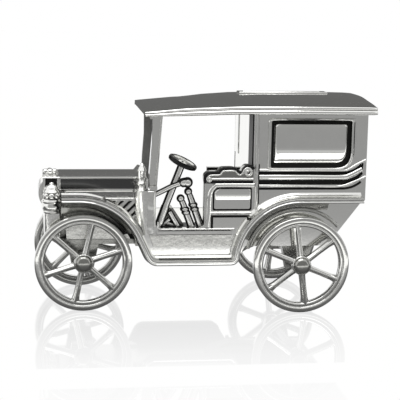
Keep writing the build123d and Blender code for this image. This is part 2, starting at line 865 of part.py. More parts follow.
with BuildPart() as headlamp_lens:
    add(headlamp_piece(headlamp_glass))
    with BuildSketch(Plane.XY.offset(apron_top_z + headlamp_glass[0][1])):
        with Locations((headlamp_x, -headlamp_y)):
            Circle(headlamp_stem_r)
    extrude(amount=headlamp_glass[-1][1] - headlamp_glass[0][1], mode=Mode.SUBTRACT)
finish(headlamp_lens.part, "left_headlamp_lens")
finish(mirrored(headlamp_lens.part), "right_headlamp_lens")

cowl_lamp = turned((cowl_lamp_x, -cowl_lamp_y, bulkhead_top_z), cowl_lamp_profile)
finish(cowl_lamp, "cowl_lamp")

# ---- Wings and running boards -------------------------------------------------------

def wing_line(inset):
    """The wing's line from its front tip, over the wheel, along the board and back.

    inset is the distance below the upper surface.
    """
    front_x, front_z = front_wing_center
    rear_x, rear_z = rear_wing_center
    front_r = front_wing_r - inset
    rear_r = rear_wing_r - inset
    board_z = running_board_z - inset
    slope = radians(front_wing_end_angle)
    bend = (front_x + front_r * cos(slope), front_z + front_r * sin(slope))
    board_front = (bend[0] + (bend[1] - board_z) * tan(slope), board_z)
    board_rear = (rear_x - sqrt(rear_r**2 - (board_z - rear_z) ** 2), board_z)
    shoulder = rear_r * cos(radians(45))
    Line((wing_front_x, front_z + front_r), (front_x, front_z + front_r))
    CenterArc(front_wing_center, front_r, 90, front_wing_end_angle - 90)
    Polyline(bend, board_front, board_rear)
    ThreePointArc(
        board_rear,
        (rear_x - shoulder, rear_z + shoulder),
        (rear_x, rear_z + rear_r),
    )
    Line((rear_x, rear_z + rear_r), (wing_rear_x, rear_z + rear_r))


def wing_strip(top_inset, bottom_inset):
    """The area between two depths below the wing's upper surface, seen from the side."""
    with BuildSketch(mode=Mode.PRIVATE) as strip:
        with BuildLine():
            wing_line(top_inset)
            wing_line(bottom_inset)
            for tip_x, top_z in (
                (wing_front_x, front_wing_center[1] + front_wing_r),
                (wing_rear_x, rear_wing_center[1] + rear_wing_r),
            ):
                Line((tip_x, top_z - top_inset), (tip_x, top_z - bottom_inset))
        make_face()
    return strip.sketch


with BuildPart() as wing:
    with BuildSketch(side_plane(-side_y)):
        add(wing_strip(0, wing_t))
    extrude(amount=wing_outer_y - side_y)
    with BuildSketch(side_plane(-bay_half_w - louvre_t)):
        add(wing_strip(0, wing_t))
        with Locations((bulkhead_front_x - 50, 30)):
            Rectangle(100, 60, mode=Mode.INTERSECT)
    extrude(amount=side_y - bay_half_w - louvre_t)
    for top, bottom in ((0, bead_width), (wing_t - bead_width, wing_t)):
        with BuildSketch(side_plane(-wing_outer_y)):
            add(wing_strip(top, bottom))
        extrude(amount=bead_proud)
finish(wing.part, "left_wing")
finish(mirrored(wing.part), "right_wing")

# ---- Roof and coin slot -------------------------------------------------------------

# Cross-sections of the roof: x, underside z, edge z, crown z
roof_sections = [
    (roof_front_x, roof_under_front_z, 74.2, 74.5),
    (-8.0, 73.35, 75.6, 77.0),
    (12.0, roof_under_z, 76.6, 79.4),
    (32.0, roof_under_z, 76.7, 79.7),
    (50.0, roof_under_z, 76.7, 79.7),
    (58.0, roof_under_z, 76.7, 79.6),
    (61.5, roof_under_z, 76.6, 79.1),
    (roof_rear_x, roof_under_z, 76.4, 77.8),
]
roof_wall = 1.6
rim_seat_z = 78.6
slot_rim_top_z = 80.2
roof_hollow_x = (22.0, 56.0)

with BuildPart() as roof:
    for x, under_z, edge_z, crown_z in roof_sections:
        with BuildSketch(Plane.YZ.offset(x)):
            with BuildLine():
                Polyline(
                    (-roof_half_w, edge_z),
                    (-roof_half_w, under_z),
                    (roof_half_w, under_z),
                    (roof_half_w, edge_z),
                )
                ThreePointArc((roof_half_w, edge_z), (0, crown_z), (-roof_half_w, edge_z))
            make_face()
    loft(ruled=True)
    with BuildSketch(Plane.XY.offset(roof_under_z)):
        with Locations((sum(roof_hollow_x) / 2, 0)):
            Rectangle(roof_hollow_x[1] - roof_hollow_x[0], 2 * base_rear_half_w - 2)
    extrude(amount=roof_wall, mode=Mode.SUBTRACT)
    with BuildSketch(Plane.XY.offset(roof_under_z)):
        with Locations((slot_center_x, 0)):
            Rectangle(slot_length, slot_width)
    extrude(amount=10, mode=Mode.SUBTRACT)
    with BuildSketch(Plane.XY.offset(rim_seat_z)):
        with Locations((slot_center_x, 0)):
            Rectangle(slot_rim_length, slot_rim_width)
    extrude(amount=4, mode=Mode.SUBTRACT)
finish(roof.part, "roof")

with BuildPart() as coin_slot_rim:
    with BuildSketch(Plane.XY.offset(rim_seat_z)):
        with Locations((slot_center_x, 0)):
            Rectangle(slot_rim_length, slot_rim_width)
            Rectangle(slot_length, slot_width, mode=Mode.SUBTRACT)
    extrude(amount=slot_rim_top_z - rim_seat_z)
    fillet(coin_slot_rim.edges().group_by(Axis.Z)[-1], 0.3)
finish(coin_slot_rim.part, "coin_slot_rim")

# ---- Driver's place -----------------------------------------------------------------

controls_y = -18.0
seat_half_w = 16.0
seat_x = (6.0, 16.8)
seat_height = 9.5
seat_back_top_z = 47.6
seat_end_y = (-22.4, -16.4)

with BuildPart() as seat_cushion:
    with BuildSketch(Plane.XY.offset(floor_z)):
        with Locations((sum(seat_x) / 2, 0)):
            Rectangle(seat_x[1] - seat_x[0], 2 * seat_half_w)
    extrude(amount=seat_height)
    fillet(seat_cushion.edges().group_by(Axis.Z)[-1], 1.2)
finish(seat_cushion.part, "seat_cushion")

with BuildPart() as seat_back:
    with BuildSketch(side_plane(seat_half_w)):
        with BuildLine():
            Polyline(
                (14.4, floor_z + seat_height),
                (door_post_x, floor_z + seat_height),
                (door_post_x, seat_back_top_z),
                (16.2, seat_back_top_z),
                close=True,
            )
        make_face()
    extrude(amount=2 * seat_half_w)
    fillet(seat_back.edges().group_by(Axis.Z)[-1], 0.5)
finish(seat_back.part, "seat_back")

seat_end_inner = side_y - side_t + seat_end_y[1]
crest_scroll = (15.3, 51.8)
crest_scroll_r = 2.2

with BuildPart() as seat_end:
    with BuildSketch(side_plane(seat_end_y[1])):
        with Locations(((seat_front_x + door_post_x) / 2, (floor_z + seat_rail_z) / 2)):
            Rectangle(door_post_x - seat_front_x, seat_rail_z - floor_z)
    extrude(amount=seat_end_inner)
    with BuildSketch(side_plane(seat_end_y[1])):
        with BuildLine():
            Line((seat_front_x, seat_rail_z), (-0.9, 49.9))
            TangentArc((-0.9, 49.9), (0.4, 51.2), tangent=(0, 1))
            Polyline((0.4, 51.2), (4.6, 51.4), (5.9, 53.1), (11.0, 53.1), (12.4, 51.9))
            Polyline((12.4, 51.9), (door_post_x, 51.0), (door_post_x, seat_rail_z))
            Line((door_post_x, seat_rail_z), (seat_front_x, seat_rail_z))
        make_face()
        with Locations(crest_scroll):
            Circle(crest_scroll_r)
        add(box_between((door_post_x, door_post_x + 4), (seat_rail_z, 60)), mode=Mode.SUBTRACT)
    extrude(amount=seat_end_y[1] - seat_end_y[0])
finish(seat_end.part, "left_seat_end")


def space_beyond(plane):
    """A large block standing on this plane, to keep only what is inside it."""
    with BuildPart() as block:
        with BuildSketch(plane):
            Rectangle(200, 200)
        extrude(amount=60)
    return block.part


def rod(start, end, radius):
    """A straight round bar from one point to another."""
    run = Vector(*end) - Vector(*start)
    with BuildPart() as bar:
        with BuildSketch(Plane(origin=start, z_dir=run)):
            Circle(radius)
        extrude(amount=run.length)
    return bar.part


wheel_center = (-8.6, controls_y, 55.2)
wheel_lean = 24.2
wheel_axis = (sin(radians(wheel_lean)), -0.12, cos(radians(wheel_lean)))
wheel_ring_r = 4.7
wheel_tube_r = 0.6

with BuildPart(Plane(origin=wheel_center, z_dir=wheel_axis)) as steering_wheel:
    Torus(wheel_ring_r, wheel_tube_r)
    with Locations((0, 0, -0.1)):
        Cylinder(1.2, 1.0)
    with PolarLocations(wheel_ring_r / 2, 4, start_angle=45):
        Box(wheel_ring_r, 0.8, 0.5)
finish(steering_wheel.part, "steering_wheel")

column_top = (wheel_center[0] - 0.35, controls_y, wheel_center[2] - 0.9)
with BuildPart() as steering_column:
    add(rod((-17.7, controls_y, floor_z - 0.3), column_top, 0.65))
    add(space_beyond(Plane.XY.offset(floor_z)), mode=Mode.INTERSECT)
finish(steering_column.part, "steering_column")

horn_y = -19.3
horn_bulb = (-6.9, horn_y, 47.8)

with BuildPart() as horn:
    add(rod((body_front_x, horn_y, 42.2), (-12.5, horn_y, 46.4), 0.45))
    add(rod((-12.5, horn_y, 46.4), (-8.4, horn_y, 47.8), 0.45))
    with Locations((-12.5, horn_y, 46.4)):
        Sphere(0.45)
    with Locations((-8.1, horn_y, 47.9)):
        Cylinder(0.75, 1.0, rotation=(0, 90, 0))
    with Locations(horn_bulb):
        Sphere(1.3)
    add(space_beyond(Plane.YZ.offset(body_front_x)), mode=Mode.INTERSECT)
finish(horn.part, "horn")


def lever(foot, collar, top, knob_r):
    """An upright lever with a collar part-way up and a rounded knob."""
    direction = (Vector(*top) - Vector(*foot)).normalized()
    collar_start = Vector(*collar) - direction * 0.6
    collar_end = Vector(*collar) + direction * 0.6
    with BuildPart() as handle:
        add(rod(Vector(*foot) - direction, collar, 0.62))
        add(rod(collar, top, 0.5))
        add(rod(collar_start, collar_end, 0.95))
        with Locations(top):
            Sphere(knob_r)
        add(space_beyond(Plane.XY.offset(floor_z)), mode=Mode.INTERSECT)
    return handle.part


brake_lever = lever(
    (-1.6, controls_y, floor_z), (-4.5, controls_y, 39.1), (-6.4, controls_y, 44.0), 0.75
)
finish(brake_lever, "brake_lever")
gear_lever = lever(
    (-5.0, controls_y, floor_z), (-7.2, controls_y, 36.6), (-9.2, controls_y, 41.5), 0.75
)
finish(gear_lever, "gear_lever")

with BuildPart() as pedals:
    add(rod((-10.0, controls_y, 30.5), (-13.3, controls_y, 36.6), 0.5))
    add(rod((-15.9, -17.0, 30.5), (-13.2, -17.0, 33.6), 0.4))
    add(space_beyond(Plane.XY.offset(floor_z)), mode=Mode.INTERSECT)
finish(pedals.part, "pedals")

toe_box_y = (-15.5, -9.0)

with BuildPart() as toe_box:
    with BuildSketch(side_plane(toe_box_y[1])):
        with BuildLine():
            Polyline(
                (-14.2, floor_z),
                (-13.9, 37.6),
                (-11.8, 37.6),
                (-7.4, floor_z),
                close=True,
            )
        make_face()
    extrude(amount=toe_box_y[1] - toe_box_y[0])
finish(toe_box.part, "toe_box")

# ---- Stopper ------------------------------------------------------------------------

stopper_gap = 0.06
stopper_flange_t = 1.6
stopper_skirt_t = 3.0
stopper_skirt_w = 1.54
flange_gap = 0.02
grip_r = 9.0
grip_bar_w = 3.0
grip_depth = 0.8

with BuildPart() as stopper:
    with BuildSketch(Plane.XY.offset(base_z - stopper_flange_t)):
        with Locations((stopper_x, 0)):
            Circle(stopper_flange_r)
    extrude(amount=stopper_flange_t - flange_gap)
    fillet(stopper.edges().group_by(Axis.Z)[0], 0.5)
    with BuildSketch(Plane.XY.offset(base_z - flange_gap)):
        with Locations((stopper_x, 0)):
            Circle(stopper_r - stopper_gap)
            Circle(stopper_r - stopper_gap - stopper_skirt_w, mode=Mode.SUBTRACT)
    extrude(amount=stopper_skirt_t)
    with BuildSketch(Plane.XY.offset(base_z - stopper_flange_t)):
        with Locations((stopper_x, 0)):
            Circle(grip_r)
            Rectangle(2 * grip_r, grip_bar_w, mode=Mode.SUBTRACT)
    extrude(amount=grip_depth, mode=Mode.SUBTRACT)
finish(stopper.part, "base_stopper")
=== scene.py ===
"""Looks of the cast-metal limousine money box, built around its CAD frame.

Lengths are millimetres and MM turns them into Blender's metres.
+X runs to the rear of the car, +Y to its right-hand side, +Z up.
side is -1 for the car's left and +1 for its right.
"""

from math import asin, cos, pi, radians, sin, sqrt, tan

import bmesh
import bpy
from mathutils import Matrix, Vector


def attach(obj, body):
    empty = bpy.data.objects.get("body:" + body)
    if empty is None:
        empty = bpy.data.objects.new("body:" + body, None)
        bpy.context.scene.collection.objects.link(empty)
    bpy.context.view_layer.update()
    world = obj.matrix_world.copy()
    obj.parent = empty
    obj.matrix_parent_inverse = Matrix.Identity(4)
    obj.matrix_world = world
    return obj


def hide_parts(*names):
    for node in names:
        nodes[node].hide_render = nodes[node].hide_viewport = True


MM = 0.001
LEFT, RIGHT = -1, 1
SIDE_NAMES = {LEFT: "left", RIGHT: "right"}

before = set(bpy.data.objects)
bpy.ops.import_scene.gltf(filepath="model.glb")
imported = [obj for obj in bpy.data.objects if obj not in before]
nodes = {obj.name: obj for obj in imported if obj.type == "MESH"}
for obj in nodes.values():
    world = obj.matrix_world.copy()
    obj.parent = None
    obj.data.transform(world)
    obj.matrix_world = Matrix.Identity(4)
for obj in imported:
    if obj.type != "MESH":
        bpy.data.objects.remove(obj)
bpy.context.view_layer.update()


# ---- Driving dimensions, shared with the CAD ----------------------------------------

WHEEL_R = 18.0
FRONT_AXLE_X = -45.2
REAR_AXLE_X = 35.2
FRONT_HALF_TRACK = 20.2
REAR_HALF_TRACK = 27.5
HUB_LENGTH = 4.4
END_PLAY = 0.1
SIDE_Y = 22.0
SCREEN_Y = 18.2
LOUVRE_Y = 16.8
BONNET_HALF_W = 10.0
ROOF_HALF_W = 24.5
FRONT_WING = (-47.0, 18.4, 25.0)
REAR_WING = (34.5, 18.4, 24.5)
BOARD_Z = 19.8
WING_SLOPE = radians(25)


# ---- Materials ----------------------------------------------------------------------

class Nodes:
    """Adds shader nodes to a material, one call each."""

    def __init__(self, material):
        self.tree = material.node_tree

    def add(self, kind, inputs=None, **settings):
        node = self.tree.nodes.new(kind)
        for key, value in settings.items():
            setattr(node, key, value)
        for key, value in (inputs or {}).items():
            if isinstance(value, bpy.types.NodeSocket):
                self.tree.links.new(value, node.inputs[key])
            else:
                node.inputs[key].default_value = value
        return node

    def math(self, operation, a, b=0.0):
        return self.add("ShaderNodeMath", {0: a, 1: b}, operation=operation).outputs[0]

    def ramp(self, value, low, high):
        """0 below low, 1 above high, smooth between."""
        inputs = {"Value": value, "From Min": low, "From Max": high}
        node = self.add("ShaderNodeMapRange", inputs, interpolation_type="SMOOTHSTEP")
        return node.outputs["Result"]

    def ray_start(self):
        """Where the ray that meets this surface set off from, as X, Y and Z."""
        geometry = self.add("ShaderNodeNewGeometry").outputs
        length = self.add("ShaderNodeLightPath").outputs["Ray Length"]
        run = self.add(
            "ShaderNodeVectorMath", {0: geometry["Incoming"], "Scale": length}, operation="SCALE"
        ).outputs[0]
        start = self.add("ShaderNodeVectorMath", {0: geometry["Position"], 1: run}, operation="ADD")
        return self.add("ShaderNodeSeparateXYZ", {0: start.outputs[0]}).outputs

    def mix(self, factor, a, b):
        node = self.add("ShaderNodeMix", {"Factor": factor}, data_type="RGBA")
        for socket, value in ((6, a), (7, b)):
            if isinstance(value, bpy.types.NodeSocket):
                self.tree.links.new(value, node.inputs[socket])
            else:
                node.inputs[socket].default_value = (*value, 1.0)
        return node.outputs[2]


SILVER = (0.93, 0.93, 0.905)
# Black of the tarnish in hollows, also used for the painted shade on sunk faces.
BLACK_PATINA_AND_SHADE = (0.012, 0.012, 0.011)
PATINA_AND_SHADE_ROUGHNESS = 0.3
PATINA_AND_SHADE_SPECULAR = 0.1
WEAR_SCALE = 180.0
WEAR_REACH = 0.3
WORN_SHADE = 0.93
GRAIN_ROUGHNESS = 0.6

# Each pair is where a smooth step begins and ends.
OPEN_SKY = (0.35, 0.75)       # share of open sky: black below, bright above
# SKIN_DEPTH and LEVEL_FACE place the painted black shade on sunk faces; faces that look up get none.
SKIN_DEPTH = (0.15, 0.4)      # millimetres inside the skin: bright below, black above
LEVEL_FACE = (0.5, 0.8)       # how far a face looks up: beyond this it stays bright
SIDE_FACE = (0.78, 0.92)      # how far a face looks sideways: black below, bright above
RIM_STEP = 0.2                # millimetres over which the step at rim_y runs


def metal(name, color=SILVER, roughness=0.08, grain=0.15, grain_size=1.2, grain_depth=0.1,
          crevice=1.2, crevice_amount=1.0, skin_y=None, skin_shade=1.0, rim_y=None, front_only=False):
    """Plated metal whose hollows hold black tarnish, and whose sunk faces can carry painted black shade.

    grain, grain_size, grain_depth: strength, width and depth of the cast surface's waves.
    skin_y: surfaces more than a little inside this distance from the middle get painted black shade,
    or shade as dark as skin_shade says; faces that look up are spared.
    rim_y: surfaces further than this from the middle, on the left, are black.
    front_only: surfaces that don't face the car's side are black.
    """
    material = bpy.data.materials.new(name)
    material.use_nodes = True
    n = Nodes(material)
    shader = n.tree.nodes["Principled BSDF"]
    place = n.add("ShaderNodeTexCoord").outputs["Object"]
    grain_noise = n.add(
        "ShaderNodeTexNoise", {"Vector": place, "Scale": 1000 / grain_size, "Detail": 3.0}
    ).outputs["Fac"]
    wear_noise = n.add(
        "ShaderNodeTexNoise", {"Vector": place, "Scale": WEAR_SCALE, "Detail": 2.0}
    ).outputs["Fac"]
    hollow = n.add("ShaderNodeAmbientOcclusion", {"Distance": crevice * MM}, samples=8).outputs["AO"]
    wear = n.math("MULTIPLY", n.math("SUBTRACT", wear_noise, 0.5), WEAR_REACH)
    hollow = n.math("ADD", hollow, wear)
    patina_and_shade = n.math("SUBTRACT", 1.0, n.ramp(hollow, *OPEN_SKY))
    patina_and_shade = n.math("MULTIPLY", patina_and_shade, crevice_amount)
    place_y = n.add("ShaderNodeSeparateXYZ", {0: place}).outputs["Y"]
    normal = n.add("ShaderNodeNewGeometry").outputs["Normal"]
    normal = n.add("ShaderNodeSeparateXYZ", {0: normal}).outputs
    # Painted shade: faces sunk behind skin_y are darkened, and faces that look up are spared.
    if skin_y is not None:
        depth = n.math("SUBTRACT", skin_y * MM, n.math("ABSOLUTE", place_y))
        deep = n.math("MULTIPLY", n.ramp(depth, SKIN_DEPTH[0] * MM, SKIN_DEPTH[1] * MM), skin_shade)
        level = n.math("SUBTRACT", 1.0, n.ramp(normal["Z"], *LEVEL_FACE))
        patina_and_shade = n.math("MAXIMUM", patina_and_shade, n.math("MULTIPLY", deep, level))
    if rim_y is not None:
        left = n.math("MULTIPLY", place_y, -1.0)
        patina_and_shade = n.math("MAXIMUM", patina_and_shade, n.ramp(left, (rim_y - RIM_STEP) * MM, rim_y * MM))
    if front_only:
        facing = n.math("ABSOLUTE", normal["Y"])
        patina_and_shade = n.math("MAXIMUM", patina_and_shade, n.math("SUBTRACT", 1.0, n.ramp(facing, *SIDE_FACE)))
    tint = n.mix(wear_noise, tuple(WORN_SHADE * c for c in color), color)
    rough = n.math("ADD", roughness, n.math("MULTIPLY", grain_noise, GRAIN_ROUGHNESS * roughness))
    rough = n.math("ADD", rough, n.math("MULTIPLY", patina_and_shade, PATINA_AND_SHADE_ROUGHNESS))
    bump = n.add(
        "ShaderNodeBump", {"Strength": grain, "Distance": grain_depth * MM, "Height": grain_noise}
    ).outputs["Normal"]
    links = n.tree.links
    # Base colour: black in the tarnished hollows and where the painted shade lies, silver elsewhere.
    links.new(n.mix(patina_and_shade, tint, BLACK_PATINA_AND_SHADE), shader.inputs["Base Color"])
    links.new(rough, shader.inputs["Roughness"])
    links.new(bump, shader.inputs["Normal"])
    links.new(n.math("SUBTRACT", 1.0, patina_and_shade), shader.inputs["Metallic"])
    shader.inputs["Specular IOR Level"].default_value = PATINA_AND_SHADE_SPECULAR
    return material


polished = metal("polished_silver", roughness=0.06, grain=0.08, crevice=0.9, crevice_amount=0.8)
mirror = metal("mirror_silver", roughness=0.05, grain=0.05, crevice=0.3, crevice_amount=0.0,
               rim_y=10.2)
panel_silver = metal("panel_silver", roughness=0.06, grain=0.06, crevice=1.6)
lamp_silver = metal("lamp_silver", roughness=0.1, grain=0.5, crevice=0.5, crevice_amount=0.8)
# The coves under the wings are a darker silver than the wings: painted shade under the wings.
cove_silver = metal("cove_silver", (0.6, 0.6, 0.58), roughness=0.14, grain=0.5, crevice=1.6)
cast = metal("cast_silver", roughness=0.13, grain=0.6, grain_size=1.6, crevice=1.0)
# side_silver, louvre_silver, radiator_silver and screen_silver carry painted black shade on faces sunk behind
# their skin_y.
side_silver = metal("side_silver", roughness=0.07, grain=0.08, crevice=0.8, skin_y=SIDE_Y)
louvre_silver = metal("louvre_silver", roughness=0.12, grain=0.3, crevice=0.5, skin_y=LOUVRE_Y)
radiator_silver = metal("radiator_silver", roughness=0.1, grain=0.4, crevice=0.7,
                        skin_y=BONNET_HALF_W)
relief = metal("relief_silver", roughness=0.2, grain=0.4, crevice=0.8, front_only=True)
column_silver = metal("column_silver", roughness=0.1, grain=1.0, grain_size=14.0, grain_depth=1.6,
                      crevice=0.5)
# Near black: the steering wheel rim and the seat crest outline, and the painted shade sheet on the running
# boards.
near_black_and_painted_shade = metal("near_black_and_painted_shade", (0.03, 0.03, 0.03), roughness=0.3, grain=0.2, crevice=0.6)
wing_silver = metal("wing_silver", (0.82, 0.82, 0.8), roughness=0.07, grain=0.15, crevice=0.9)
rough_cast = metal("rough_cast", (0.8, 0.8, 0.77), roughness=0.2, grain=0.7, grain_size=1.8,
                   grain_depth=0.14, crevice=1.2)
wheel_silver = metal("wheel_silver", (0.72, 0.72, 0.7), roughness=0.07, grain=0.12, crevice=1.2)
hub_silver = metal("hub_silver", (0.4, 0.4, 0.38), roughness=0.1, grain=0.1, crevice=1.0)
screen_silver = metal("screen_silver", roughness=0.08, grain=0.1, crevice=0.7, skin_y=SCREEN_Y,
                      skin_shade=0.8)
# Painted dark reflection: a near-black metal that stands in for the dark reflection on the bonnet sides.
painted_dark_reflection = metal("painted_dark_reflection", (0.12, 0.12, 0.12), roughness=0.1, grain=0.1, crevice=0.4)
dark_cast = metal("dark_cast", (0.42, 0.42, 0.4), roughness=0.2, grain=0.5, crevice=2.0)
steel = metal("steel", (0.6, 0.6, 0.6), roughness=0.28, grain=0.2, crevice=0.6)
stopper_finish = metal("stopper_finish", (0.2, 0.2, 0.2), roughness=0.4, grain=0.4, crevice=0.6)


# ---- Building shapes ----------------------------------------------------------------

MERGE_REACH = 0.001
SHORTEST_EDGE = 0.0001


class Shape:
    """Collects the closed surfaces that make up one piece."""

    def __init__(self):
        self.points = []
        self.faces = []

    def loft(self, rings, closed=False):
        """Joins rings of equal length; the ends are capped unless the rings form a loop."""
        first = len(self.points)
        size = len(rings[0])
        for ring in rings:
            self.points.extend(ring)
        spans = len(rings) if closed else len(rings) - 1
        for i in range(spans):
            near = first + i * size
            far = first + (i + 1) % len(rings) * size
            for j in range(size):
                k = (j + 1) % size
                self.faces.append((near + j, near + k, far + k, far + j))
        if not closed:
            last = first + (len(rings) - 1) * size
            self.faces.append(tuple(range(first, first + size)))
            self.faces.append(tuple(range(last, last + size)))

    def lathe(self, center, axis, profile, segments=64):
        """A turned body. The profile is a closed loop of (radius, height along the axis)."""
        axis = Vector(axis).normalized()
        across = axis.orthogonal().normalized()
        other = axis.cross(across)
        rings = []
        for i in range(segments):
            angle = 2 * pi * i / segments
            out = across * cos(angle) + other * sin(angle)
            rings.append([Vector(center) + out * r + axis * h for r, h in profile])
        self.loft(rings, closed=True)

    def tube(self, path, radii, sides=12):
        """A round bar along a path, with one radius or a radius for each point."""
        rings = []
        for i, point in enumerate(path):
            run = (Vector(path[min(i + 1, len(path) - 1)]) - Vector(path[max(i - 1, 0)])).normalized()
            level = Vector((0, 1, 0))
            if abs(run.dot(level)) > 0.9:
                level = Vector((1, 0, 0))
            up = run.cross(level).normalized()
            level = up.cross(run)
            r = radii[i] if isinstance(radii, (list, tuple)) else radii
            ring = []
            for k in range(sides):
                angle = 2 * pi * k / sides
                ring.append(Vector(point) + up * r * cos(angle) + level * r * sin(angle))
            rings.append(ring)
        self.loft(rings)

    def ball(self, center, radius, rings=10, segments=20, squash=(1, 1, 1)):
        """A round lump."""
        loops = []
        for i in range(1, rings):
            angle = pi * i / rings
            loop = []
            for k in range(segments):
                turn = 2 * pi * k / segments
                spot = (sin(angle) * cos(turn), sin(angle) * sin(turn), cos(angle))
                loop.append(Vector(center) + Vector([radius * a * b for a, b in zip(spot, squash)]))
            loops.append(loop)
        self.loft(loops)

    def sweep(self, path, section, side=LEFT):
        """Runs a section along a path in the car's side view.

        The path is (x, z) pairs; the section is (n, y) pairs, n across the path and y
        the distance from the car's middle.
        """
        rings = []
        for i, here in enumerate(path):
            here = Vector(here)
            before = Vector(path[i - 1]) if i else None
            after = Vector(path[i + 1]) if i + 1 < len(path) else None
            runs = []
            if before is not None:
                runs.append((here - before).normalized())
            if after is not None:
                runs.append((after - here).normalized())
            normals = [Vector((-run[1], run[0])) for run in runs]
            normal = sum(normals, Vector((0, 0))).normalized()
            normal /= max(0.5, normal.dot(normals[0]))
            rings.append([(here[0] + normal[0] * n, side * y, here[1] + normal[1] * n) for n, y in section])
        self.loft(rings)

    def build(self, name, material, body="car", sharp=42.0, replaces=()):
        """Makes the piece, shades it and hands it to its body."""
        mesh = bpy.data.meshes.new(name)
        mesh.from_pydata([Vector(p) * MM for p in self.points], [], self.faces)
        grid = bmesh.new()
        grid.from_mesh(mesh)
        bmesh.ops.remove_doubles(grid, verts=grid.verts, dist=MERGE_REACH * MM)
        bmesh.ops.dissolve_degenerate(grid, edges=grid.edges, dist=SHORTEST_EDGE * MM)
        bmesh.ops.recalc_face_normals(grid, faces=grid.faces)
        grid.to_mesh(mesh)
        grid.free()
        mesh.polygons.foreach_set("use_smooth", [True] * len(mesh.polygons))
        mesh.set_sharp_from_angle(angle=radians(sharp))
        mesh.materials.append(material)
        piece = bpy.data.objects.new(name, mesh)
        bpy.context.scene.collection.objects.link(piece)
        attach(piece, body)
        if replaces:
            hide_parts(*replaces)


def arc(center, radius, start, end, steps):
    """Points along an arc in the side view; angles in radians."""
    turns = [start + (end - start) * i / steps for i in range(steps + 1)]
    return [(center[0] + radius * cos(a), center[1] + radius * sin(a)) for a in turns]


def curve(points, steps=6):
    """A smooth line through the given points."""
    knots = [Vector(p) for p in points]
    knots = [2 * knots[0] - knots[1], *knots, 2 * knots[-1] - knots[-2]]
    line = []
    for a, b, c, d in zip(knots, knots[1:], knots[2:], knots[3:]):
        for i in range(steps):
            t = i / steps
            line.append(0.5 * (2 * b + (c - a) * t + (2 * a - 5 * b + 4 * c - d) * t**2
                               + (3 * b - a - 3 * c + d) * t**3))
    line.append(knots[-2])
    return [tuple(p) for p in line]


def rounded(points, radius, steps=5):
    """The same line with its inner corners rounded."""
    line = [points[0]]
    for before, here, after in zip(points, points[1:], points[2:]):
        here = Vector(here)
        back = Vector(before) - here
        ahead = Vector(after) - here
        reach = min(radius, back.length / 2, ahead.length / 2)
        start = here + back.normalized() * reach
        end = here + ahead.normalized() * reach
        for i in range(steps + 1):
            t = i / steps
            line.append(tuple(start * (1 - t) ** 2 + here * 2 * t * (1 - t) + end * t**2))
    line.append(points[-1])
    return line


def half_round(width, proud, skin=SIDE_Y, sink=0.15, steps=8):
    """A half-round moulding's section, standing proud of the skin."""
    section = [(width / 2, skin - sink)]
    for i in range(steps + 1):
        angle = pi * i / steps
        section.append((width / 2 * cos(angle), skin + proud * sin(angle)))
    section.append((-width / 2, skin - sink))
    return section


def between(value, knots):
    """A value read off (place, value) knots, level beyond both ends."""
    if value <= knots[0][0]:
        return knots[0][1]
    for (x0, v0), (x1, v1) in zip(knots, knots[1:]):
        if value <= x1:
            t = (value - x0) / (x1 - x0)
            return v0 + (v1 - v0) * t
    return knots[-1][1]


# ---- CAD pieces that are shown as they are ------------------------------------------

shown = {
    polished: ["coin_slot_rim", "rear_panel", "rear_window_panel"],
    screen_silver: ["windscreen_frame"],
    mirror: ["partition", "floor_plate"],
    cast: ["bulkhead", "scuttle", "front_apron", "engine_bay", "radiator_core"],
    side_silver: ["left_body_side", "right_body_side"],
    louvre_silver: ["left_louvre_panel", "right_louvre_panel"],
    radiator_silver: ["radiator_shell"],
    dark_cast: ["base_plate", "front_axle_bracket", "rear_axle_brackets", "front_struts",
                "tail_panel", "seat_cushion", "seat_back", "toe_box"],
    steel: ["base_screws", "front_axle", "rear_axle"],
    stopper_finish: ["base_stopper"],
}


EDGE_WIDTH = 0.18
WELD_REACH = 0.002
FLAT_ANGLE = radians(1.0)
EDGE_ANGLE = radians(40)


def soften(piece):
    """Rounds a CAD piece's edges a little, as plating does."""
    piece.modifiers.new("weld", "WELD").merge_threshold = WELD_REACH * MM
    flatten = piece.modifiers.new("flatten", "DECIMATE")
    flatten.decimate_type = "DISSOLVE"
    flatten.angle_limit = FLAT_ANGLE
    bevel = piece.modifiers.new("bevel", "BEVEL")
    bevel.width = EDGE_WIDTH * MM
    bevel.segments = 2
    bevel.limit_method = "ANGLE"
    bevel.angle_limit = EDGE_ANGLE
    bevel.harden_normals = False
    piece.modifiers.new("normals", "WEIGHTED_NORMAL").keep_sharp = True


for material, names in shown.items():
    for name in names:
        piece = nodes[name]
        piece.data.materials.clear()
        piece.data.materials.append(material)
        # The stopper's inner corner stays sharp, because the plate's edge sits in it.
        if name != "base_stopper":
            soften(piece)


# ---- Wheels -------------------------------------------------------------------------

SPOKES = 6
# Half of one face of a spoke: (distance across the spoke, distance from the middle plane)
SPOKE_SECTION = [(1.15, 0.0), (1.15, 0.65), (0.6, 0.9), (0.5, 1.25), (0.25, 1.45), (0.0, 1.5)]
# Along a spoke: (radius, factor on its width)
SPOKE_WIDTHS = [(2.4, 1.25), (4.2, 1.0), (8.0, 0.92), (12.5, 1.0), (14.2, 1.25), (15.2, 1.5)]
# Turned profiles of one face: (radius, distance from the middle plane)
RIM_PROFILE = [
    (18.0, 1.3), (17.85, 1.6), (17.5, 1.7), (16.2, 1.7), (15.95, 1.55), (15.85, 1.25),
    (15.7, 1.2), (15.45, 1.45), (15.1, 1.5), (14.7, 1.35), (14.45, 1.0),
]
HUB_PROFILE = [(1.6, 2.2), (3.2, 2.2), (3.5, 2.0), (3.6, 1.7), (3.6, 0.0)]
# Turned profile of an axle cap: (radius, height above its foot)
CAP_PROFILE = [(0.0, 1.6), (1.7, 1.55), (2.3, 1.35), (2.8, 0.9), (3.1, 0.4), (3.2, 0.0), (0.0, 0.0)]


def both_faces(profile):
    """A half section and its mirror image across the wheel's middle plane."""
    back = [(a, -b) for a, b in reversed(profile) if b]
    return profile + back


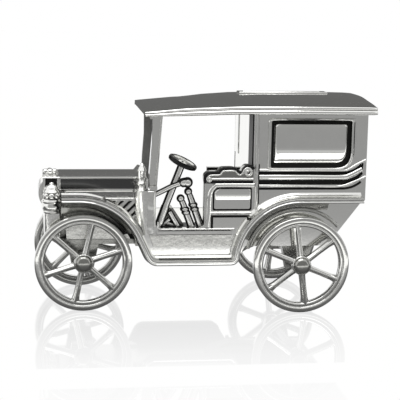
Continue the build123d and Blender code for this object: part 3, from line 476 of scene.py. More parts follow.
def wheel(name, axle_x, half_track, side, phase):
    """A cast wheel: tyre band, inner lip, ridged spokes and hub.

    phase: the angle of the first spoke, in degrees.
    """
    center = Vector((axle_x, side * half_track, WHEEL_R))
    axis = Vector((0, side, 0))
    shape = Shape()
    shape.lathe(center, axis, both_faces(RIM_PROFILE), 128)
    shape.lathe(center, axis, both_faces(HUB_PROFILE), 48)
    across_section = SPOKE_SECTION + [(-a, b) for a, b in reversed(SPOKE_SECTION[:-1])]
    section = across_section + [(a, -b) for a, b in reversed(across_section[1:-1])]
    for i in range(SPOKES):
        angle = radians(phase + 360 / SPOKES * i)
        out = Vector((cos(angle), 0, sin(angle)))
        across = out.cross(Vector((0, 1, 0)))
        rings = []
        for r, width in SPOKE_WIDTHS:
            rings.append([center + out * r + across * a * width + axis * b for a, b in section])
        shape.loft(rings)
    shape.build(f"{name}_cast", wheel_silver, body=name,
                sharp=50, replaces=[name])


wheel("front_left_wheel", FRONT_AXLE_X, FRONT_HALF_TRACK, LEFT, 18.0)
wheel("front_right_wheel", FRONT_AXLE_X, FRONT_HALF_TRACK, RIGHT, 45.0)
wheel("rear_left_wheel", REAR_AXLE_X, REAR_HALF_TRACK, LEFT, 37.5)
wheel("rear_right_wheel", REAR_AXLE_X, REAR_HALF_TRACK, RIGHT, 22.0)

for name, axle_x, half_track in (
    ("front_axle_caps", FRONT_AXLE_X, FRONT_HALF_TRACK),
    ("rear_axle_caps", REAR_AXLE_X, REAR_HALF_TRACK),
):
    caps = Shape()
    for side in (LEFT, RIGHT):
        inner = side * (half_track + HUB_LENGTH / 2 + END_PLAY)
        caps.lathe((axle_x, inner, WHEEL_R), (0, side, 0), CAP_PROFILE, 48)
    caps.build(f"{name}_domed", hub_silver, replaces=[name])


# ---- Wings and running boards -------------------------------------------------------

# Section of the wing: (height above its upper surface, distance from the car's middle)
WING_SECTION = [
    (0.9, 21.8), (0.35, 22.6), (0.05, 23.6), (0.05, 25.2), (-0.05, 26.2), (0.1, 26.5),
    (0.2, 26.9), (0.05, 27.3), (-0.25, 27.4), (-0.55, 27.3), (-0.75, 26.95), (-1.1, 26.95),
    (-1.3, 27.3), (-1.6, 27.4), (-1.9, 27.25), (-2.0, 26.85), (-1.85, 26.4), (-1.5, 25.8),
    (-1.5, 23.6), (-1.9, 22.6), (-2.6, 21.8),
]
FILLET_SECTION = [(1.7, 21.8), (1.0, 22.15), (0.5, 22.6), (0.2, 23.1), (0.0, 23.6), (-0.3, 22.5),
                  (-0.3, 21.8)]
FRONT_STRIP_SECTION = [(0.0, 16.6), (0.1, 19.5), (0.9, 21.8), (-1.9, 22.4), (-1.7, 19.5), (-1.7, 16.6)]
# The front cove clears the tread and drops to its full depth inboard of the wheel.
FRONT_COVE = [(-1.8, 26.3), (-2.2, 24.8), (-3.2, 23.0), (-4.3, 21.2), (-4.9, 19.6), (-5.1, 18.7),
              (-6.3, 18.1), (-7.4, 17.6), (-8.4, 17.2)]
REAR_COVE = [(-1.8, 26.3), (-2.1, 24.8), (-2.9, 23.4), (-4.1, 22.4), (-5.6, 21.9)]
# Section of a black sheet over the running board's top: painted shade along the board.
BOARD_SHADE_SECTION = [(0.6, 21.95), (0.6, 22.1), (0.2, 22.2), (0.14, 26.1), (0.0, 26.2), (0.0, 21.95)]
COVE_T = 0.5
COVE_LAP = 0.1
FRONT_STRIP_TO_X = -25.2
FRONT_COVE_TO_X = -25.0
FILLET_FROM_X = 16.0
REAR_COVE_X = (11.8, 47.0)
BOARD_SHADE_X = (-17.6, 10.6)
TUB_R = 20.0
TUB_FROM, TUB_TO = radians(165), radians(42)


def wing_path():
    """The wing's upper line, from its front tip to its tail."""
    x, z, r = FRONT_WING
    front = [(-53.4, z + r), (-50.0, z + r)] + arc((x, z), r, pi / 2, WING_SLOPE, 24)
    bend = front[-1]
    board_front = (bend[0] + (bend[1] - BOARD_Z) * tan(WING_SLOPE), BOARD_Z)
    x, z, r = REAR_WING
    meet = pi - asin((BOARD_Z - z) / r)
    rear = arc((x, z), r, meet, pi / 2, 30)
    corner = rounded([bend, board_front, (board_front[0] + 12, BOARD_Z)], 1.8)
    foot = rounded([(rear[0][0] - 12, BOARD_Z), rear[0], rear[2]], 1.2)
    return front + corner[1:-1] + foot[1:-1] + rear[3:] + [(46.0, z + r), (58.6, z + r)]


def cove_section(line):
    """A thin shell's closed section from its outer line."""
    back = [(n + COVE_T, y + COVE_LAP) for n, y in reversed(line)]
    return line + back


def wing(side):
    """One side's wings and running board, the painted shade on the board and the coves under them."""
    name = SIDE_NAMES[side]
    path = wing_path()
    shape = Shape()
    shape.sweep(path, WING_SECTION, side)
    shape.sweep([p for p in path if p[0] < FRONT_STRIP_TO_X], FRONT_STRIP_SECTION, side)
    shape.sweep([p for p in path if p[0] > FILLET_FROM_X], FILLET_SECTION, side)
    shape.build(f"{name}_wing_cast", wing_silver, replaces=[f"{name}_wing"])

    # Painted shade: a thin black sheet laid on the running board's top.
    board = Shape()
    board.sweep([(x, BOARD_Z) for x in BOARD_SHADE_X], BOARD_SHADE_SECTION, side)
    board.build(f"{name}_board_painted_shade", near_black_and_painted_shade)

    # The coves' darker silver is painted shade under the wings.
    coves = Shape()
    coves.sweep([p for p in path if p[0] < FRONT_COVE_TO_X], cove_section(FRONT_COVE), side)
    over_rear_wheel = [p for p in path if REAR_COVE_X[0] < p[0] < REAR_COVE_X[1]]
    coves.sweep(over_rear_wheel, cove_section(REAR_COVE), side)
    tub = arc((REAR_AXLE_X, WHEEL_R), TUB_R, TUB_FROM, TUB_TO, 40)
    coves.sweep(tub, half_round(1.4, 0.9), side)
    coves.build(f"{name}_wing_coves", cove_silver)


for side in (LEFT, RIGHT):
    wing(side)


# ---- Roof ---------------------------------------------------------------------------

ROOF_X = (-23.2, 63.2)
# Heights along the roof, as (x, z): its crown, the tops of its edges and its underside
CROWN = [(ROOF_X[0], 74.5), (-16, 75.7), (-8, 77.0), (2, 78.6), (12, 79.4), (22, 79.7), (52, 79.7),
         (58, 79.6), (60.5, 79.4), (62, 78.9), (ROOF_X[1], 77.8)]
EAVES = [(ROOF_X[0], 74.3), (-8, 75.7), (12, 76.5), (32, 76.6), (61, 76.5), (ROOF_X[1], 76.3)]
ROOF_UNDER = [(ROOF_X[0], 72.8), (12, 74.0), (ROOF_X[1], 74.0)]
# Edge section: (distance out from the roof's half width, share of the edge's height)
EAVES_SECTION = [
    (-0.9, 1.0), (-0.35, 1.05), (0.1, 0.96), (0.25, 0.8), (0.1, 0.62), (-0.1, 0.56),
    (0.05, 0.5), (0.45, 0.4), (0.6, 0.2), (0.45, 0.0), (0.1, -0.12), (-0.3, -0.16),
    (-0.5, 0.0), (-0.9, 0.04),
]
ROOF_RAYS = 24
CROWN_POWER = 2.3
ROOF_END_LENGTH = 1.5
ROOF_END_SHRINK = 0.6
SLOT_X = (16.7, 46.7)
SLOT_HALF_W = 1.6


def crown_line(x, half_w, start, end):
    """The roof's upper surface at x, from one distance across the car to another."""
    top = between(x, CROWN)
    eaves = between(x, EAVES)
    line = []
    for i in range(ROOF_RAYS + 1):
        y = start + (end - start) * i / ROOF_RAYS
        line.append((x, y, eaves + (top - eaves) * (1 - abs(y / half_w) ** CROWN_POWER)))
    return line


def eaves_edge(x, half_w, side):
    """The roof's moulded edge at x, from its top to its underside."""
    eaves = between(x, EAVES)
    under = between(x, ROOF_UNDER)
    return [(x, side * (half_w + out), under + (eaves - under) * share) for out, share in EAVES_SECTION]


def roof_ring(x, shrink):
    """The whole roof's cross-section at x; shrink pulls its edges in at the ends."""
    half_w = ROOF_HALF_W - shrink
    inner = half_w + EAVES_SECTION[0][0]
    ring = crown_line(x, inner, -inner, inner)
    return ring + eaves_edge(x, half_w, RIGHT)[1:] + eaves_edge(x, half_w, LEFT)[:0:-1]


def roof_side_ring(x, side):
    """The cross-section at x of the part of the roof to one side of the coin slot."""
    inner = ROOF_HALF_W + EAVES_SECTION[0][0]
    ring = crown_line(x, inner, side * SLOT_HALF_W, side * inner)
    return ring + eaves_edge(x, ROOF_HALF_W, side)[1:] + [(x, side * SLOT_HALF_W, between(x, ROOF_UNDER))]


def stations(start, end, pitch=1.5):
    """Evenly spaced places along the car."""
    count = round((end - start) / pitch)
    return [start + (end - start) * i / count for i in range(count + 1)]


def roof_end_ring(x):
    """The whole roof's cross-section, drawn in a little where the roof ends."""
    from_end = min(x - ROOF_X[0], ROOF_X[1] - x)
    return roof_ring(x, ROOF_END_SHRINK * max(0.0, 1 - from_end / ROOF_END_LENGTH) ** 2)


roof = Shape()
roof.loft([roof_end_ring(x) for x in stations(ROOF_X[0], SLOT_X[0])])
roof.loft([roof_end_ring(x) for x in stations(SLOT_X[1], ROOF_X[1])])
for side in (LEFT, RIGHT):
    roof.loft([roof_side_ring(x, side) for x in stations(*SLOT_X)])
roof.build("roof_cast", polished, replaces=["roof"], sharp=50)


# ---- Windows, belt lines and frames on the body sides -------------------------------

# tilts: how far the face leans down, in degrees, at each height
WINDOW_PANEL = {
    "x": (24.8, 52.9), "z": (54.9, 69.9), "big_r": 4.2, "big_corner": (1, -1),
    "tilts": [(55.8, 38.0), (56.4, 21.0), (57.8, 18.5), (59.8, 15.0), (60.4, 5.0), (62.0, 1.0),
              (69.9, -1.0)],
}
DOOR_PANEL = {
    "x": (2.8, 16.9), "z": (38.1, 45.7), "big_r": 1.8, "big_corner": (-1, 1),
    "tilts": [(38.4, 35.0), (40.2, 22.0), (40.8, 15.0), (43.0, 10.5), (43.5, 3.0), (45.7, 0.0)],
}
SMALL_CORNER_R = 0.7
PILLOW_STEPS = 28
PILLOW_EDGE_POWER = 40
TILT_STEPS = 60
PANEL_BACK_Y = 20.7
WINDOW_TOP_Y = 22.75
DOOR_TOP_Y = 22.4


def corner_inset(reach, radius):
    """How far a rounded corner pulls the edge in, this far from the corner's end."""
    if reach >= radius:
        return 0.0
    return radius - sqrt(max(0.0, radius**2 - (radius - reach) ** 2))


def pillow_depths(tilts, z0, z1):
    """Where a panel's face stands at each height, from its downward tilts in degrees.

    The answer is (height, distance in from the panel's proudest line) knots.
    """
    depth = 0.0
    knots = [(z1, 0.0)]
    step = (z1 - z0) / TILT_STEPS
    for i in range(TILT_STEPS):
        z = z1 - (i + 0.5) * step
        depth += step * tan(radians(between(z, tilts)))
        knots.append((z - step / 2, depth))
    return sorted(knots)


def pillow(shape, panel, side, back_y, top_y):
    """A bulged panel with a rounded outline, shaped by its tilts."""
    (x0, x1), (z0, z1) = panel["x"], panel["z"]
    radii = {(sx, sz): SMALL_CORNER_R for sx in (-1, 1) for sz in (-1, 1)}
    radii[panel["big_corner"]] = panel["big_r"]
    depths = pillow_depths(panel["tilts"], z0, z1)
    edge_y = top_y - depths[0][1]
    grid = []
    steps = PILLOW_STEPS
    for j in range(steps + 1):
        v = sin(pi / 2 * (2 * j / steps - 1))
        z = (z0 + z1) / 2 + (z1 - z0) / 2 * v
        sz = 1 if v > 0 else -1
        reach = (z1 - z) if sz > 0 else (z - z0)
        left = x0 + corner_inset(reach, radii[(-1, sz)])
        right = x1 - corner_inset(reach, radii[(1, sz)])
        row = []
        for i in range(steps + 1):
            u = sin(pi / 2 * (2 * i / steps - 1))
            x = (left + right) / 2 + (right - left) / 2 * u
            swell = (top_y - between(z, depths) - edge_y) * (1 - abs(u) ** PILLOW_EDGE_POWER)
            row.append((x, side * (edge_y + swell), z))
        grid.append(row)
    outline = [(i, 0) for i in range(steps)] + [(steps, j) for j in range(steps)]
    outline += [(i, steps) for i in range(steps, 0, -1)] + [(0, j) for j in range(steps, 0, -1)]
    first = len(shape.points)
    for row in grid:
        shape.points.extend(row)
    width = steps + 1
    for j in range(steps):
        for i in range(steps):
            a = first + j * width + i
            shape.faces.append((a, a + 1, a + 1 + width, a + width))
    rim = []
    for i, j in outline:
        x, _, z = grid[j][i]
        rim.append(len(shape.points))
        shape.points.append((x, side * back_y, z))
    front = [first + j * width + i for i, j in outline]
    for k in range(len(outline)):
        after = (k + 1) % len(outline)
        shape.faces.append((front[k], front[after], rim[after], rim[k]))
    shape.faces.append(tuple(rim))


def frame_path(panel, grow, big_r):
    """The closed outline around a panel, starting half-way along its top."""
    x0, x1 = panel["x"][0] - grow, panel["x"][1] + grow
    z0, z1 = panel["z"][0] - grow, panel["z"][1] + grow
    top = ((x0 + x1) / 2, z1)
    corners = [top, (x1, z1), (x1, z0), (x0, z0), (x0, z1), top]
    line = [top]
    for before, here, after in zip(corners, corners[1:], corners[2:]):
        sx = 1 if here[0] == x1 else -1
        sz = 1 if here[1] == z1 else -1
        radius = big_r if (sx, sz) == panel["big_corner"] else 1.0
        line += rounded([before, here, after], radius)[1:-1]
    line.append(top)
    return line


def slab(shape, outline, near_y, far_y, side, bevel=0.3):
    """A flat piece with this outline and a bevelled outer face."""
    center = sum((Vector(p) for p in outline), Vector((0, 0))) / len(outline)
    rings = []
    for y, inset in ((far_y, 0.0), (near_y - bevel, 0.0), (near_y, bevel)):
        ring = []
        for point in outline:
            inward = (center - Vector(point)).normalized() * inset
            spot = Vector(point) + inward
            ring.append((spot[0], side * y, spot[1]))
        rings.append(ring)
    shape.loft(rings)


# Belt lines: knots of the line, moulding width and how proud it stands
BELTS = [
    ([(19.6, 52.8), (35, 52.8), (50.5, 52.7), (53.5, 53.2), (56.5, 54.9), (59.9, 56.6)], 0.9, 0.5),
    ([(19.6, 50.2), (35, 50.2), (50.5, 50.1), (54.0, 50.8), (57.0, 52.3), (58.6, 53.1)], 1.9, 0.75),
    ([(19.6, 47.0), (35, 46.9), (44, 46.6), (50.5, 46.7), (55.0, 48.1), (60.1, 50.3)], 0.9, 0.5),
]


def window(side):
    """The bulged window panel and the moulding round it."""
    name = SIDE_NAMES[side]
    panels = Shape()
    pillow(panels, WINDOW_PANEL, side, PANEL_BACK_Y, WINDOW_TOP_Y)
    panels.build(f"{name}_window_bulge", panel_silver, replaces=[f"{name}_window_panel"])

    window_frame = Shape()
    window_frame.sweep(frame_path(WINDOW_PANEL, 1.75, 6.2), half_round(1.0, 0.6), side)
    window_frame.build(f"{name}_window_frame", polished)


def belt_mouldings(side):
    """The three belt lines that sweep up to the rear."""
    belts = Shape()
    for knots, width, proud in BELTS:
        belts.sweep(curve(knots), half_round(width, proud), side)
    belts.build(f"{SIDE_NAMES[side]}_belt_mouldings", polished)


def post_beads(side):
    """Beads on the door post, the bulkhead and the windscreen post."""
    posts = Shape()
    posts.sweep([(18.6, 33.0), (18.6, 73.6)], half_round(1.1, 0.55), side)
    posts.sweep([(-19.2, 31.6), (-19.2, 44.9)], half_round(0.8, 0.45), side)
    screen_line = [(-18.6, 46.3), (-18.3, 50.0), (-17.6, 60.0), (-16.7, 72.8)]
    posts.sweep(screen_line, half_round(0.8, 0.45, skin=SCREEN_Y), side)
    posts.build(f"{SIDE_NAMES[side]}_post_beads", polished)


# Flat cast faces: outline, outer face, back and metal
FACES = {
    "bulkhead_face": ([(-21.8, 28.9), (-19.6, 28.9), (-19.6, 44.9), (-21.8, 44.9)],
                      22.25, 21.9, column_silver),
    "valance_face": ([(-19.6, 24.2), (10.8, 24.2), (12.6, 27.0), (13.2, 28.5), (-21.2, 28.5)],
                     22.2, 21.9, rough_cast),
    "arch_plate": (arc((FRONT_AXLE_X, WHEEL_R), 19.3, radians(25), radians(112), 24)
                   + [(-51.4, 26.2), (-27.8, 26.2)],
                   17.05, 16.7, rough_cast),
}


def cast_faces(side):
    """The faces of the bulkhead and the valance, and the plate inside the front wheel arch."""
    for name, (outline, near_y, far_y, material) in FACES.items():
        face = Shape()
        slab(face, outline, near_y, far_y, side, bevel=0.1)
        face.build(f"{SIDE_NAMES[side]}_{name}", material)


def sill_moulding(side):
    """The bead along the foot of the doorway."""
    sill = Shape()
    sill.sweep(rounded([(-17.9, 33.5), (-17.9, 30.6), (10.6, 30.6)], 2.2), half_round(0.8, 0.45), side)
    sill.build(f"{SIDE_NAMES[side]}_sill_mouldings", cast)


for side in (LEFT, RIGHT):
    window(side)
    belt_mouldings(side)
    post_beads(side)
    cast_faces(side)
    sill_moulding(side)

door = Shape()
pillow(door, DOOR_PANEL, LEFT, PANEL_BACK_Y, DOOR_TOP_Y)
door.build("left_door_bulge", panel_silver)

door_frame = Shape()
band = [(0.4, 31.5), (0.8, 35.5), (0.9, 41.0), (1.5, 44.6), (3.3, 46.8), (5.2, 47.1), (17.8, 47.1)]
door_frame.sweep(curve(band), half_round(1.7, 0.6), LEFT)
door_frame.sweep([(1.4, 36.7), (16.8, 36.7)], half_round(1.0, 0.5), LEFT)
door_frame.build("left_door_frame", polished)


# ---- The seat end with its scrolled crest -------------------------------------------

SEAT_END_Y = (16.4, 22.3)
CREST = [
    (-0.7, 47.9), (-0.9, 49.3), (-0.7, 50.6), (0.2, 51.6), (1.6, 51.9), (4.2, 52.0), (4.9, 52.5),
    (5.6, 53.3), (7.0, 53.5), (10.2, 53.5), (11.2, 52.9), (12.2, 52.1), (13.1, 52.2),
    (13.6, 53.4), (14.7, 54.3), (16.0, 54.4), (17.1, 53.8), (17.35, 52.6), (17.35, 49.0),
]
# The crest's inner line follows its outline, a little shorter and lower.
INSET_LENGTH = 0.93
INSET_X = 0.6
INSET_DROP = 0.95


def spiral(center, start_r, end_r, start, turns, steps=40):
    """A flat spiral in the side view, wound inwards."""
    points = []
    for i in range(steps + 1):
        t = i / steps
        r = start_r + (end_r - start_r) * t
        angle = start + 2 * pi * turns * t
        points.append((center[0] + r * cos(angle), -SEAT_END_Y[1] - 0.2, center[1] + r * sin(angle)))
    return points


crest_line = curve(CREST, 3)
seat_end = Shape()
slab(seat_end, crest_line + [(17.35, 48.3), (-0.7, 47.6)], SEAT_END_Y[1], SEAT_END_Y[0], LEFT)
box = [(-0.6, 31.0), (17.35, 31.0), (17.35, 47.6), (-0.6, 47.6)]
slab(seat_end, box, 20.0, SEAT_END_Y[0], LEFT, bevel=0.05)
seat_end.build("left_seat_end_plate", hub_silver, replaces=["left_seat_end"])

outlines = Shape()
outlines.tube([(x, -SEAT_END_Y[1], z) for x, z in crest_line[:-4]], 0.5)
outlines.sweep([(0.2, 48.35), (17.3, 48.35)], half_round(1.1, 0.12, skin=SEAT_END_Y[1]), LEFT)
outlines.build("left_seat_crest_outline", near_black_and_painted_shade)

crest = Shape()
inset_line = [(x * INSET_LENGTH + INSET_X, z - INSET_DROP) for x, z in crest_line[6:-12]]
crest.sweep(inset_line, half_round(0.7, 0.5, skin=SEAT_END_Y[1]), LEFT)
crest.sweep([(0.4, 49.5), (17.3, 49.5)], half_round(0.9, 0.45, skin=SEAT_END_Y[1]), LEFT)
crest.tube(spiral((15.3, 52.0), 1.8, 0.5, radians(200), -1.4), 0.5)
crest.tube(spiral((0.9, 49.4), 1.0, 0.3, radians(120), 1.2), 0.4)
crest.build("left_seat_scroll", lamp_silver)


# ---- Driver's controls --------------------------------------------------------------

CONTROLS_Y = -18.0
HORN_Y = -19.3
WHEEL_CENTER = Vector((-8.6, CONTROLS_Y, 55.2))
WHEEL_AXIS = Vector((sin(radians(24.2)), -0.14, cos(radians(24.2)))).normalized()

steering = Shape()
# Turned profiles: (radius, height along the steering wheel's axis)
ring = [(4.4, 0.0), (4.5, 0.6), (4.95, 0.85), (5.5, 0.6), (5.7, 0.0), (5.5, -0.7), (4.95, -0.95),
        (4.5, -0.7)]
dish = [(0, 0.7), (1.0, 0.6), (1.5, 0.3), (3.0, 0.2), (3.8, 0.35), (4.5, 0.6), (4.5, -0.5), (0, -0.9)]
steering.lathe(WHEEL_CENTER, WHEEL_AXIS, ring, 56)
steering.build("steering_wheel_rim", near_black_and_painted_shade, replaces=["steering_wheel"])

steering_dish = Shape()
steering_dish.lathe(WHEEL_CENTER, WHEEL_AXIS, dish, 48)
steering_dish.build("steering_wheel_dish", lamp_silver, replaces=["steering_wheel"])

column = Shape()
column.tube([(-17.4, CONTROLS_Y, 31.2), (-15.2, CONTROLS_Y, 37.8), (-9.1, CONTROLS_Y, 54.0)], 1.4)
column.tube([(-17.0, CONTROLS_Y, 32.2), (-14.8, CONTROLS_Y, 38.6)], 1.65)
column.build("steering_column_cast", relief, replaces=["steering_column"])

horn = Shape()
horn_pipe = curve([(-21.4, HORN_Y, 42.2), (-17.0, HORN_Y, 44.2), (-12.5, HORN_Y, 46.4), (-8.2, HORN_Y, 47.8)])
horn.tube(horn_pipe, 1.05)
horn.tube([(-9.8, HORN_Y, 47.3), (-9.0, HORN_Y, 47.6), (-7.6, HORN_Y, 47.9)], [1.1, 1.8, 1.8])
horn.ball((-6.9, HORN_Y, 47.8), 2.05)
horn.build("horn_cast", relief, replaces=["horn"])

# Knobs part-way up a lever: (share of its length, radius)
LEVER_COLLARS = [(0.5, 1.75), (0.62, 1.8)]
LEVER_RADII = [1.5, 1.45, 1.35, 1.2, 1.1]
LEVER_KNOB_R = 1.55
LEVERS = {
    "brake_lever": [(-1.5, 31.0), (-2.7, 34.2), (-4.5, 39.1), (-5.6, 42.2), (-6.4, 44.2)],
    "gear_lever": [(-5.0, 31.0), (-6.0, 33.6), (-7.2, 36.6), (-8.2, 39.4), (-9.2, 41.6)],
}
for name, line in LEVERS.items():
    lever = Shape()
    path = [(x, CONTROLS_Y, z) for x, z in line]
    lever.tube(path, LEVER_RADII)
    top = Vector(path[-1])
    for share, size in LEVER_COLLARS:
        spot = Vector(path[0]).lerp(top, share)
        lever.ball(spot, size, squash=(1, 1, 0.7))
    lever.ball(top, LEVER_KNOB_R)
    lever.build(f"{name}_cast", relief, replaces=[name])

pedals = Shape()
pedals.tube([(-10.2, CONTROLS_Y, 31.3), (-13.3, CONTROLS_Y, 36.6)], 1.1)
pedals.tube([(-15.8, -17.0, 31.3), (-13.2, -17.0, 33.6)], 0.95)
pedals.tube([(-14.4, -17.0, 32.2), (-11.6, -17.0, 31.4)], 0.9)
pedals.build("pedals_cast", relief, replaces=["pedals"])


# ---- Front: bonnet, radiator cap and lamps ------------------------------------------

BONNET_X = (-53.8, -24.6)
BONNET_SECTION = [
    (10.0, 43.2), (10.0, 43.7), (9.6, 43.9), (9.6, 47.7), (10.0, 47.9), (10.05, 48.2),
    (9.9, 48.45), (9.5, 48.55), (9.0, 48.5),
]

bonnet = Shape()
section = BONNET_SECTION + [(-y, z) for y, z in reversed(BONNET_SECTION)]
bonnet.loft([[(x, y, z) for y, z in section] for x in BONNET_X])
bonnet.build("bonnet_cast", polished, replaces=["bonnet"])

# The bonnet sides are near black: a painted dark reflection.
bonnet_sides = Shape()
outline = [(-53.4, 44.0), (-25.0, 44.0), (-25.0, 47.6), (-53.4, 47.6)]
for side in (LEFT, RIGHT):
    slab(bonnet_sides, outline, 9.72, 9.5, side, bevel=0.05)
bonnet_sides.build("bonnet_side_panels", painted_dark_reflection)

# The lumps on the radiator cap: (x, y, radius)
CAP_LUMPS = [(-58.9, -0.8, 1.1), (-57.2, -1.2, 1.3), (-55.5, -0.6, 1.1), (-57.4, 1.0, 1.2)]
CAP_LUMP_Z = 49.2

cap = Shape()
cap.lathe((-56.9, 0, 48.4), (0, 0, 1), [(0, 0), (2.9, 0), (2.9, 0.5), (2.0, 0.9), (0, 1.0)], 32)
for x, y, r in CAP_LUMPS:
    cap.ball((x, y, CAP_LUMP_Z), r)
cap.build("radiator_cap_cast", lamp_silver, replaces=["radiator_cap"])

LAMP_X = -56.8
LAMP_Y = 13.9
LAMP_Z = 35.7
LENS_BEADS = 7
LENS_BEAD_RING_R = 2.2
LENS_BEAD_R = 1.15
LENS_BEAD_Z = 6.6
# Turned profiles: (radius, height above the lamp's foot)
LAMP_BODY = [
    (0, 0.0), (2.9, 0.0), (3.3, 0.3), (3.3, 0.8), (3.0, 1.1), (3.5, 1.4), (3.7, 1.9), (3.75, 2.6),
    (3.7, 3.3), (3.45, 3.7), (3.5, 3.95), (3.75, 4.2), (3.75, 4.7), (3.4, 5.0), (3.4, 5.4), (0, 5.45),
]
LAMP_DOME = [
    (0, 7.6), (2.9, 7.6), (3.15, 7.9), (3.0, 8.3), (2.5, 8.7), (2.4, 9.3), (2.0, 10.0), (1.3, 10.5),
    (0.8, 10.7), (0.8, 11.1), (0.4, 11.4), (0, 11.45),
]
for side in (LEFT, RIGHT):
    name = SIDE_NAMES[side]
    foot = Vector((LAMP_X, side * LAMP_Y, LAMP_Z))
    body = Shape()
    body.lathe(foot, (0, 0, 1), LAMP_BODY, 40)
    body.lathe(foot, (0, 0, 1), LAMP_DOME, 40)
    body.build(f"{name}_headlamp_cast", lamp_silver, sharp=60, replaces=[f"{name}_headlamp"])
    glass = Shape()
    glass.lathe(foot, (0, 0, 1), [(0, 5.4), (2.2, 5.4), (2.2, 7.7), (0, 7.7)], 32)
    for i in range(LENS_BEADS):
        angle = 2 * pi * i / LENS_BEADS - pi / 2
        out = Vector((cos(angle), sin(angle), 0))
        bead = foot + out * LENS_BEAD_RING_R + Vector((0, 0, LENS_BEAD_Z))
        glass.ball(bead, LENS_BEAD_R, squash=(1, 1, 1.1))
    glass.build(f"{name}_headlamp_glass", polished, replaces=[f"{name}_headlamp_lens"])

cowl = Shape()
foot = Vector((-24.0, -20.3, 45.0))
profile = [
    (0, 0), (1.5, 0), (1.6, 0.5), (1.2, 0.9), (1.0, 1.6), (1.4, 2.1), (1.6, 3.0), (1.1, 3.8), (1.0, 4.2),
    (1.5, 4.8), (1.55, 7.2), (1.75, 7.5), (1.3, 8.4), (0.9, 9.1), (0.45, 10.1), (0, 10.4),
]
cowl.lathe(foot, (0, 0, 1), profile, 32)
cowl.build("cowl_lamp_cast", lamp_silver, replaces=["cowl_lamp"])


# ---- Studio -------------------------------------------------------------------------

FLOOR_SEEN_BELOW = 0.5 * MM
RIGHT_SIDE_FROM = 21.0 * MM


def emission(name, strength, right_only=False):
    """A plain glowing finish for a studio card; the floor sees it as white.

    right_only: everything but the right-hand side of the car sees it as white too.
    """
    material = bpy.data.materials.new(name)
    material.use_nodes = True
    n = Nodes(material)
    n.tree.nodes.clear()
    start = n.ray_start()
    seen = n.math("GREATER_THAN", start["Z"], FLOOR_SEEN_BELOW)
    if right_only:
        seen = n.math("MULTIPLY", seen, n.math("GREATER_THAN", start["Y"], RIGHT_SIDE_FROM))
    level = n.math("ADD", 1.0, n.math("MULTIPLY", seen, strength - 1.0))
    glow = n.add("ShaderNodeEmission", {"Color": (1.0, 1.0, 0.985, 1.0), "Strength": level})
    n.add("ShaderNodeOutputMaterial", {"Surface": glow.outputs[0]})
    return material


def card(name, corners, strength, right_only=False):
    """A studio card that only shows in the metal's reflections; corners in millimetres."""
    mesh = bpy.data.meshes.new(name)
    mesh.from_pydata([Vector(p) * MM for p in corners], [], [(0, 1, 2, 3)])
    mesh.materials.append(emission(name, strength, right_only))
    piece = bpy.data.objects.new(name, mesh)
    bpy.context.scene.collection.objects.link(piece)
    piece.visible_camera = False
    piece.visible_diffuse = False
    piece.visible_shadow = False


card("front_card", [(-900, -900, 0), (900, -900, 0), (900, -900, 700), (-900, -900, 700)], 0.36)
card("right_card", [(-900, 900, 0), (900, 900, 0), (900, 900, 700), (-900, 900, 700)], 0.36,
     right_only=True)
card("band_card", [(-400, -82, 10), (400, -82, 10), (400, -60, 10), (-400, -60, 10)], 1.5)
card("back_low_card", [(-300, 60, 66), (300, 60, 66), (300, 150, 180), (-300, 150, 180)], 0.14)
card("back_high_card", [(-300, 150, 180), (300, 150, 180), (500, 400, 700), (-500, 400, 700)], 0.14)
card("bonnet_card", [(-60, 40, 50), (-12, 40, 50), (-12, 60, 66), (-60, 60, 66)], 0.14)
card("tail_card", [(500, -200, 0), (500, -60, 0), (500, -60, 500), (500, -200, 500)], 0.1)

world = bpy.data.worlds.new("studio")
bpy.context.scene.world = world
world.use_nodes = True
background = world.node_tree.nodes["Background"]
background.inputs["Color"].default_value = (1.0, 1.0, 1.0, 1.0)
background.inputs["Strength"].default_value = 1.0

FLOOR_GLOSS = 0.22
FAR_FLOOR_GLOSS_SHARE = 0.2
FLOOR_ROUGHNESS = 0.03
FLOOR_REACH = 3000.0
GLOSS_FADE_Y = (-125.0, -20.0)
FLOOR_SHADE_Y = (-300.0, 100.0)
# Place along FLOOR_SHADE_Y from 0 to 1, and the brightness that the metal sees there
FLOOR_SHADE = [(0.0, 0.32), (0.32, 0.36), (0.42, 0.6), (0.5, 0.5), (0.6, 0.22), (0.7, 0.12),
               (0.82, 0.2), (0.9, 1.0)]


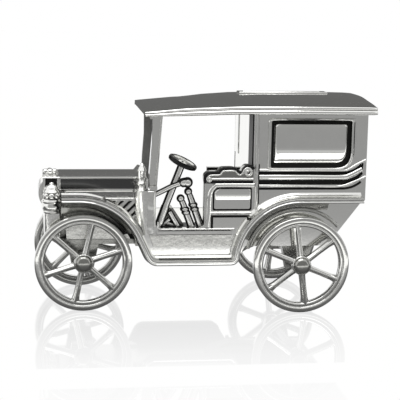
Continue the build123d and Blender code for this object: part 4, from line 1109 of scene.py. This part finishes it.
def floor_finish():
    """A floor that the camera sees as white with a faint reflection, and the metal as shaded."""
    material = bpy.data.materials.new("floor_gloss")
    material.use_nodes = True
    n = Nodes(material)
    n.tree.nodes.clear()
    spot = n.add("ShaderNodeNewGeometry").outputs["Position"]
    across = n.add("ShaderNodeSeparateXYZ", {0: spot}).outputs["Y"]
    fade = n.ramp(across, GLOSS_FADE_Y[0] * MM, GLOSS_FADE_Y[1] * MM)
    from_right = n.math("GREATER_THAN", n.ray_start()["Y"], RIGHT_SIDE_FROM)
    mirrored = n.math("SUBTRACT", 1.0, n.math("MULTIPLY", 2.0, from_right))
    shade_y = n.math("MULTIPLY", across, mirrored)
    near = n.math("MULTIPLY", fade, 1.0 - FAR_FLOOR_GLOSS_SHARE)
    gloss_share = n.math("MULTIPLY", n.math("ADD", FAR_FLOOR_GLOSS_SHARE, near), FLOOR_GLOSS)
    gloss = n.add("ShaderNodeBsdfGlossy", {"Roughness": FLOOR_ROUGHNESS, "Color": (1, 1, 1, 1)})
    white = n.add("ShaderNodeEmission", {"Color": (1, 1, 1, 1), "Strength": 1.0})
    seen_direct = n.add("ShaderNodeMixShader", {0: gloss_share, 1: white.outputs[0], 2: gloss.outputs[0]})
    run = {"Value": shade_y, "From Min": FLOOR_SHADE_Y[0] * MM, "From Max": FLOOR_SHADE_Y[1] * MM}
    along = n.add("ShaderNodeMapRange", run).outputs["Result"]
    shade = n.add("ShaderNodeValToRGB", {0: along})
    elements = shade.color_ramp.elements
    for place, _ in FLOOR_SHADE[1:-1]:
        elements.new(place)
    for element, (place, level) in zip(elements, FLOOR_SHADE):
        element.position = place
        element.color = (level, level, level, 1.0)
    seen_in_metal = n.add("ShaderNodeEmission", {"Color": shade.outputs["Color"], "Strength": 1.0})
    direct = n.add("ShaderNodeLightPath").outputs["Is Camera Ray"]
    both = n.add("ShaderNodeMixShader", {0: direct, 1: seen_in_metal.outputs[0], 2: seen_direct.outputs[0]})
    n.add("ShaderNodeOutputMaterial", {"Surface": both.outputs[0]})
    return material


floor_mesh = bpy.data.meshes.new("floor")
reach = FLOOR_REACH * MM
floor_corners = [(-reach, -reach, 0), (reach, -reach, 0), (reach, reach, 0), (-reach, reach, 0)]
floor_mesh.from_pydata(floor_corners, [], [(0, 1, 2, 3)])
floor_mesh.materials.append(floor_finish())
floor = bpy.data.objects.new("floor", floor_mesh)
bpy.context.scene.collection.objects.link(floor)

SOFTBOX_WATTS = 2.0
SOFTBOX_SIZE = 500.0
SOFTBOX_SPOT = Vector((-100.0, -150.0, 600.0))

light_data = bpy.data.lights.new("softbox", "AREA")
light_data.energy = SOFTBOX_WATTS
light_data.size = SOFTBOX_SIZE * MM
softbox = bpy.data.objects.new("softbox", light_data)
softbox.location = SOFTBOX_SPOT * MM
bpy.context.scene.collection.objects.link(softbox)


# ---- Camera -------------------------------------------------------------------------

CAMERA_SPOT = Vector((-63.6, -466.2, 118.1)) * MM
AZIMUTH, ELEVATION, ROLL = radians(-7.84), radians(9.68), radians(1.1)
LENS = 110.7
SENSOR_W = 36.0
CLIP_START = 10.0

back = Vector((sin(AZIMUTH) * cos(ELEVATION), -cos(AZIMUTH) * cos(ELEVATION), sin(ELEVATION)))
right = (-back).cross(Vector((0, 0, 1))).normalized()
up = right.cross(-back)
level_right = right * cos(ROLL) + up * sin(ROLL)
level_up = up * cos(ROLL) - right * sin(ROLL)

camera_data = bpy.data.cameras.new("camera")
camera_data.lens = LENS
camera_data.sensor_width = SENSOR_W
camera_data.clip_start = CLIP_START * MM
camera = bpy.data.objects.new("camera", camera_data)
bpy.context.scene.collection.objects.link(camera)
turn = camera.matrix_world.copy()
for row in range(3):
    turn[row][0] = level_right[row]
    turn[row][1] = level_up[row]
    turn[row][2] = back[row]
    turn[row][3] = CAMERA_SPOT[row]
camera.matrix_world = turn
bpy.context.scene.camera = camera
bpy.context.scene.view_settings.view_transform = "Standard"
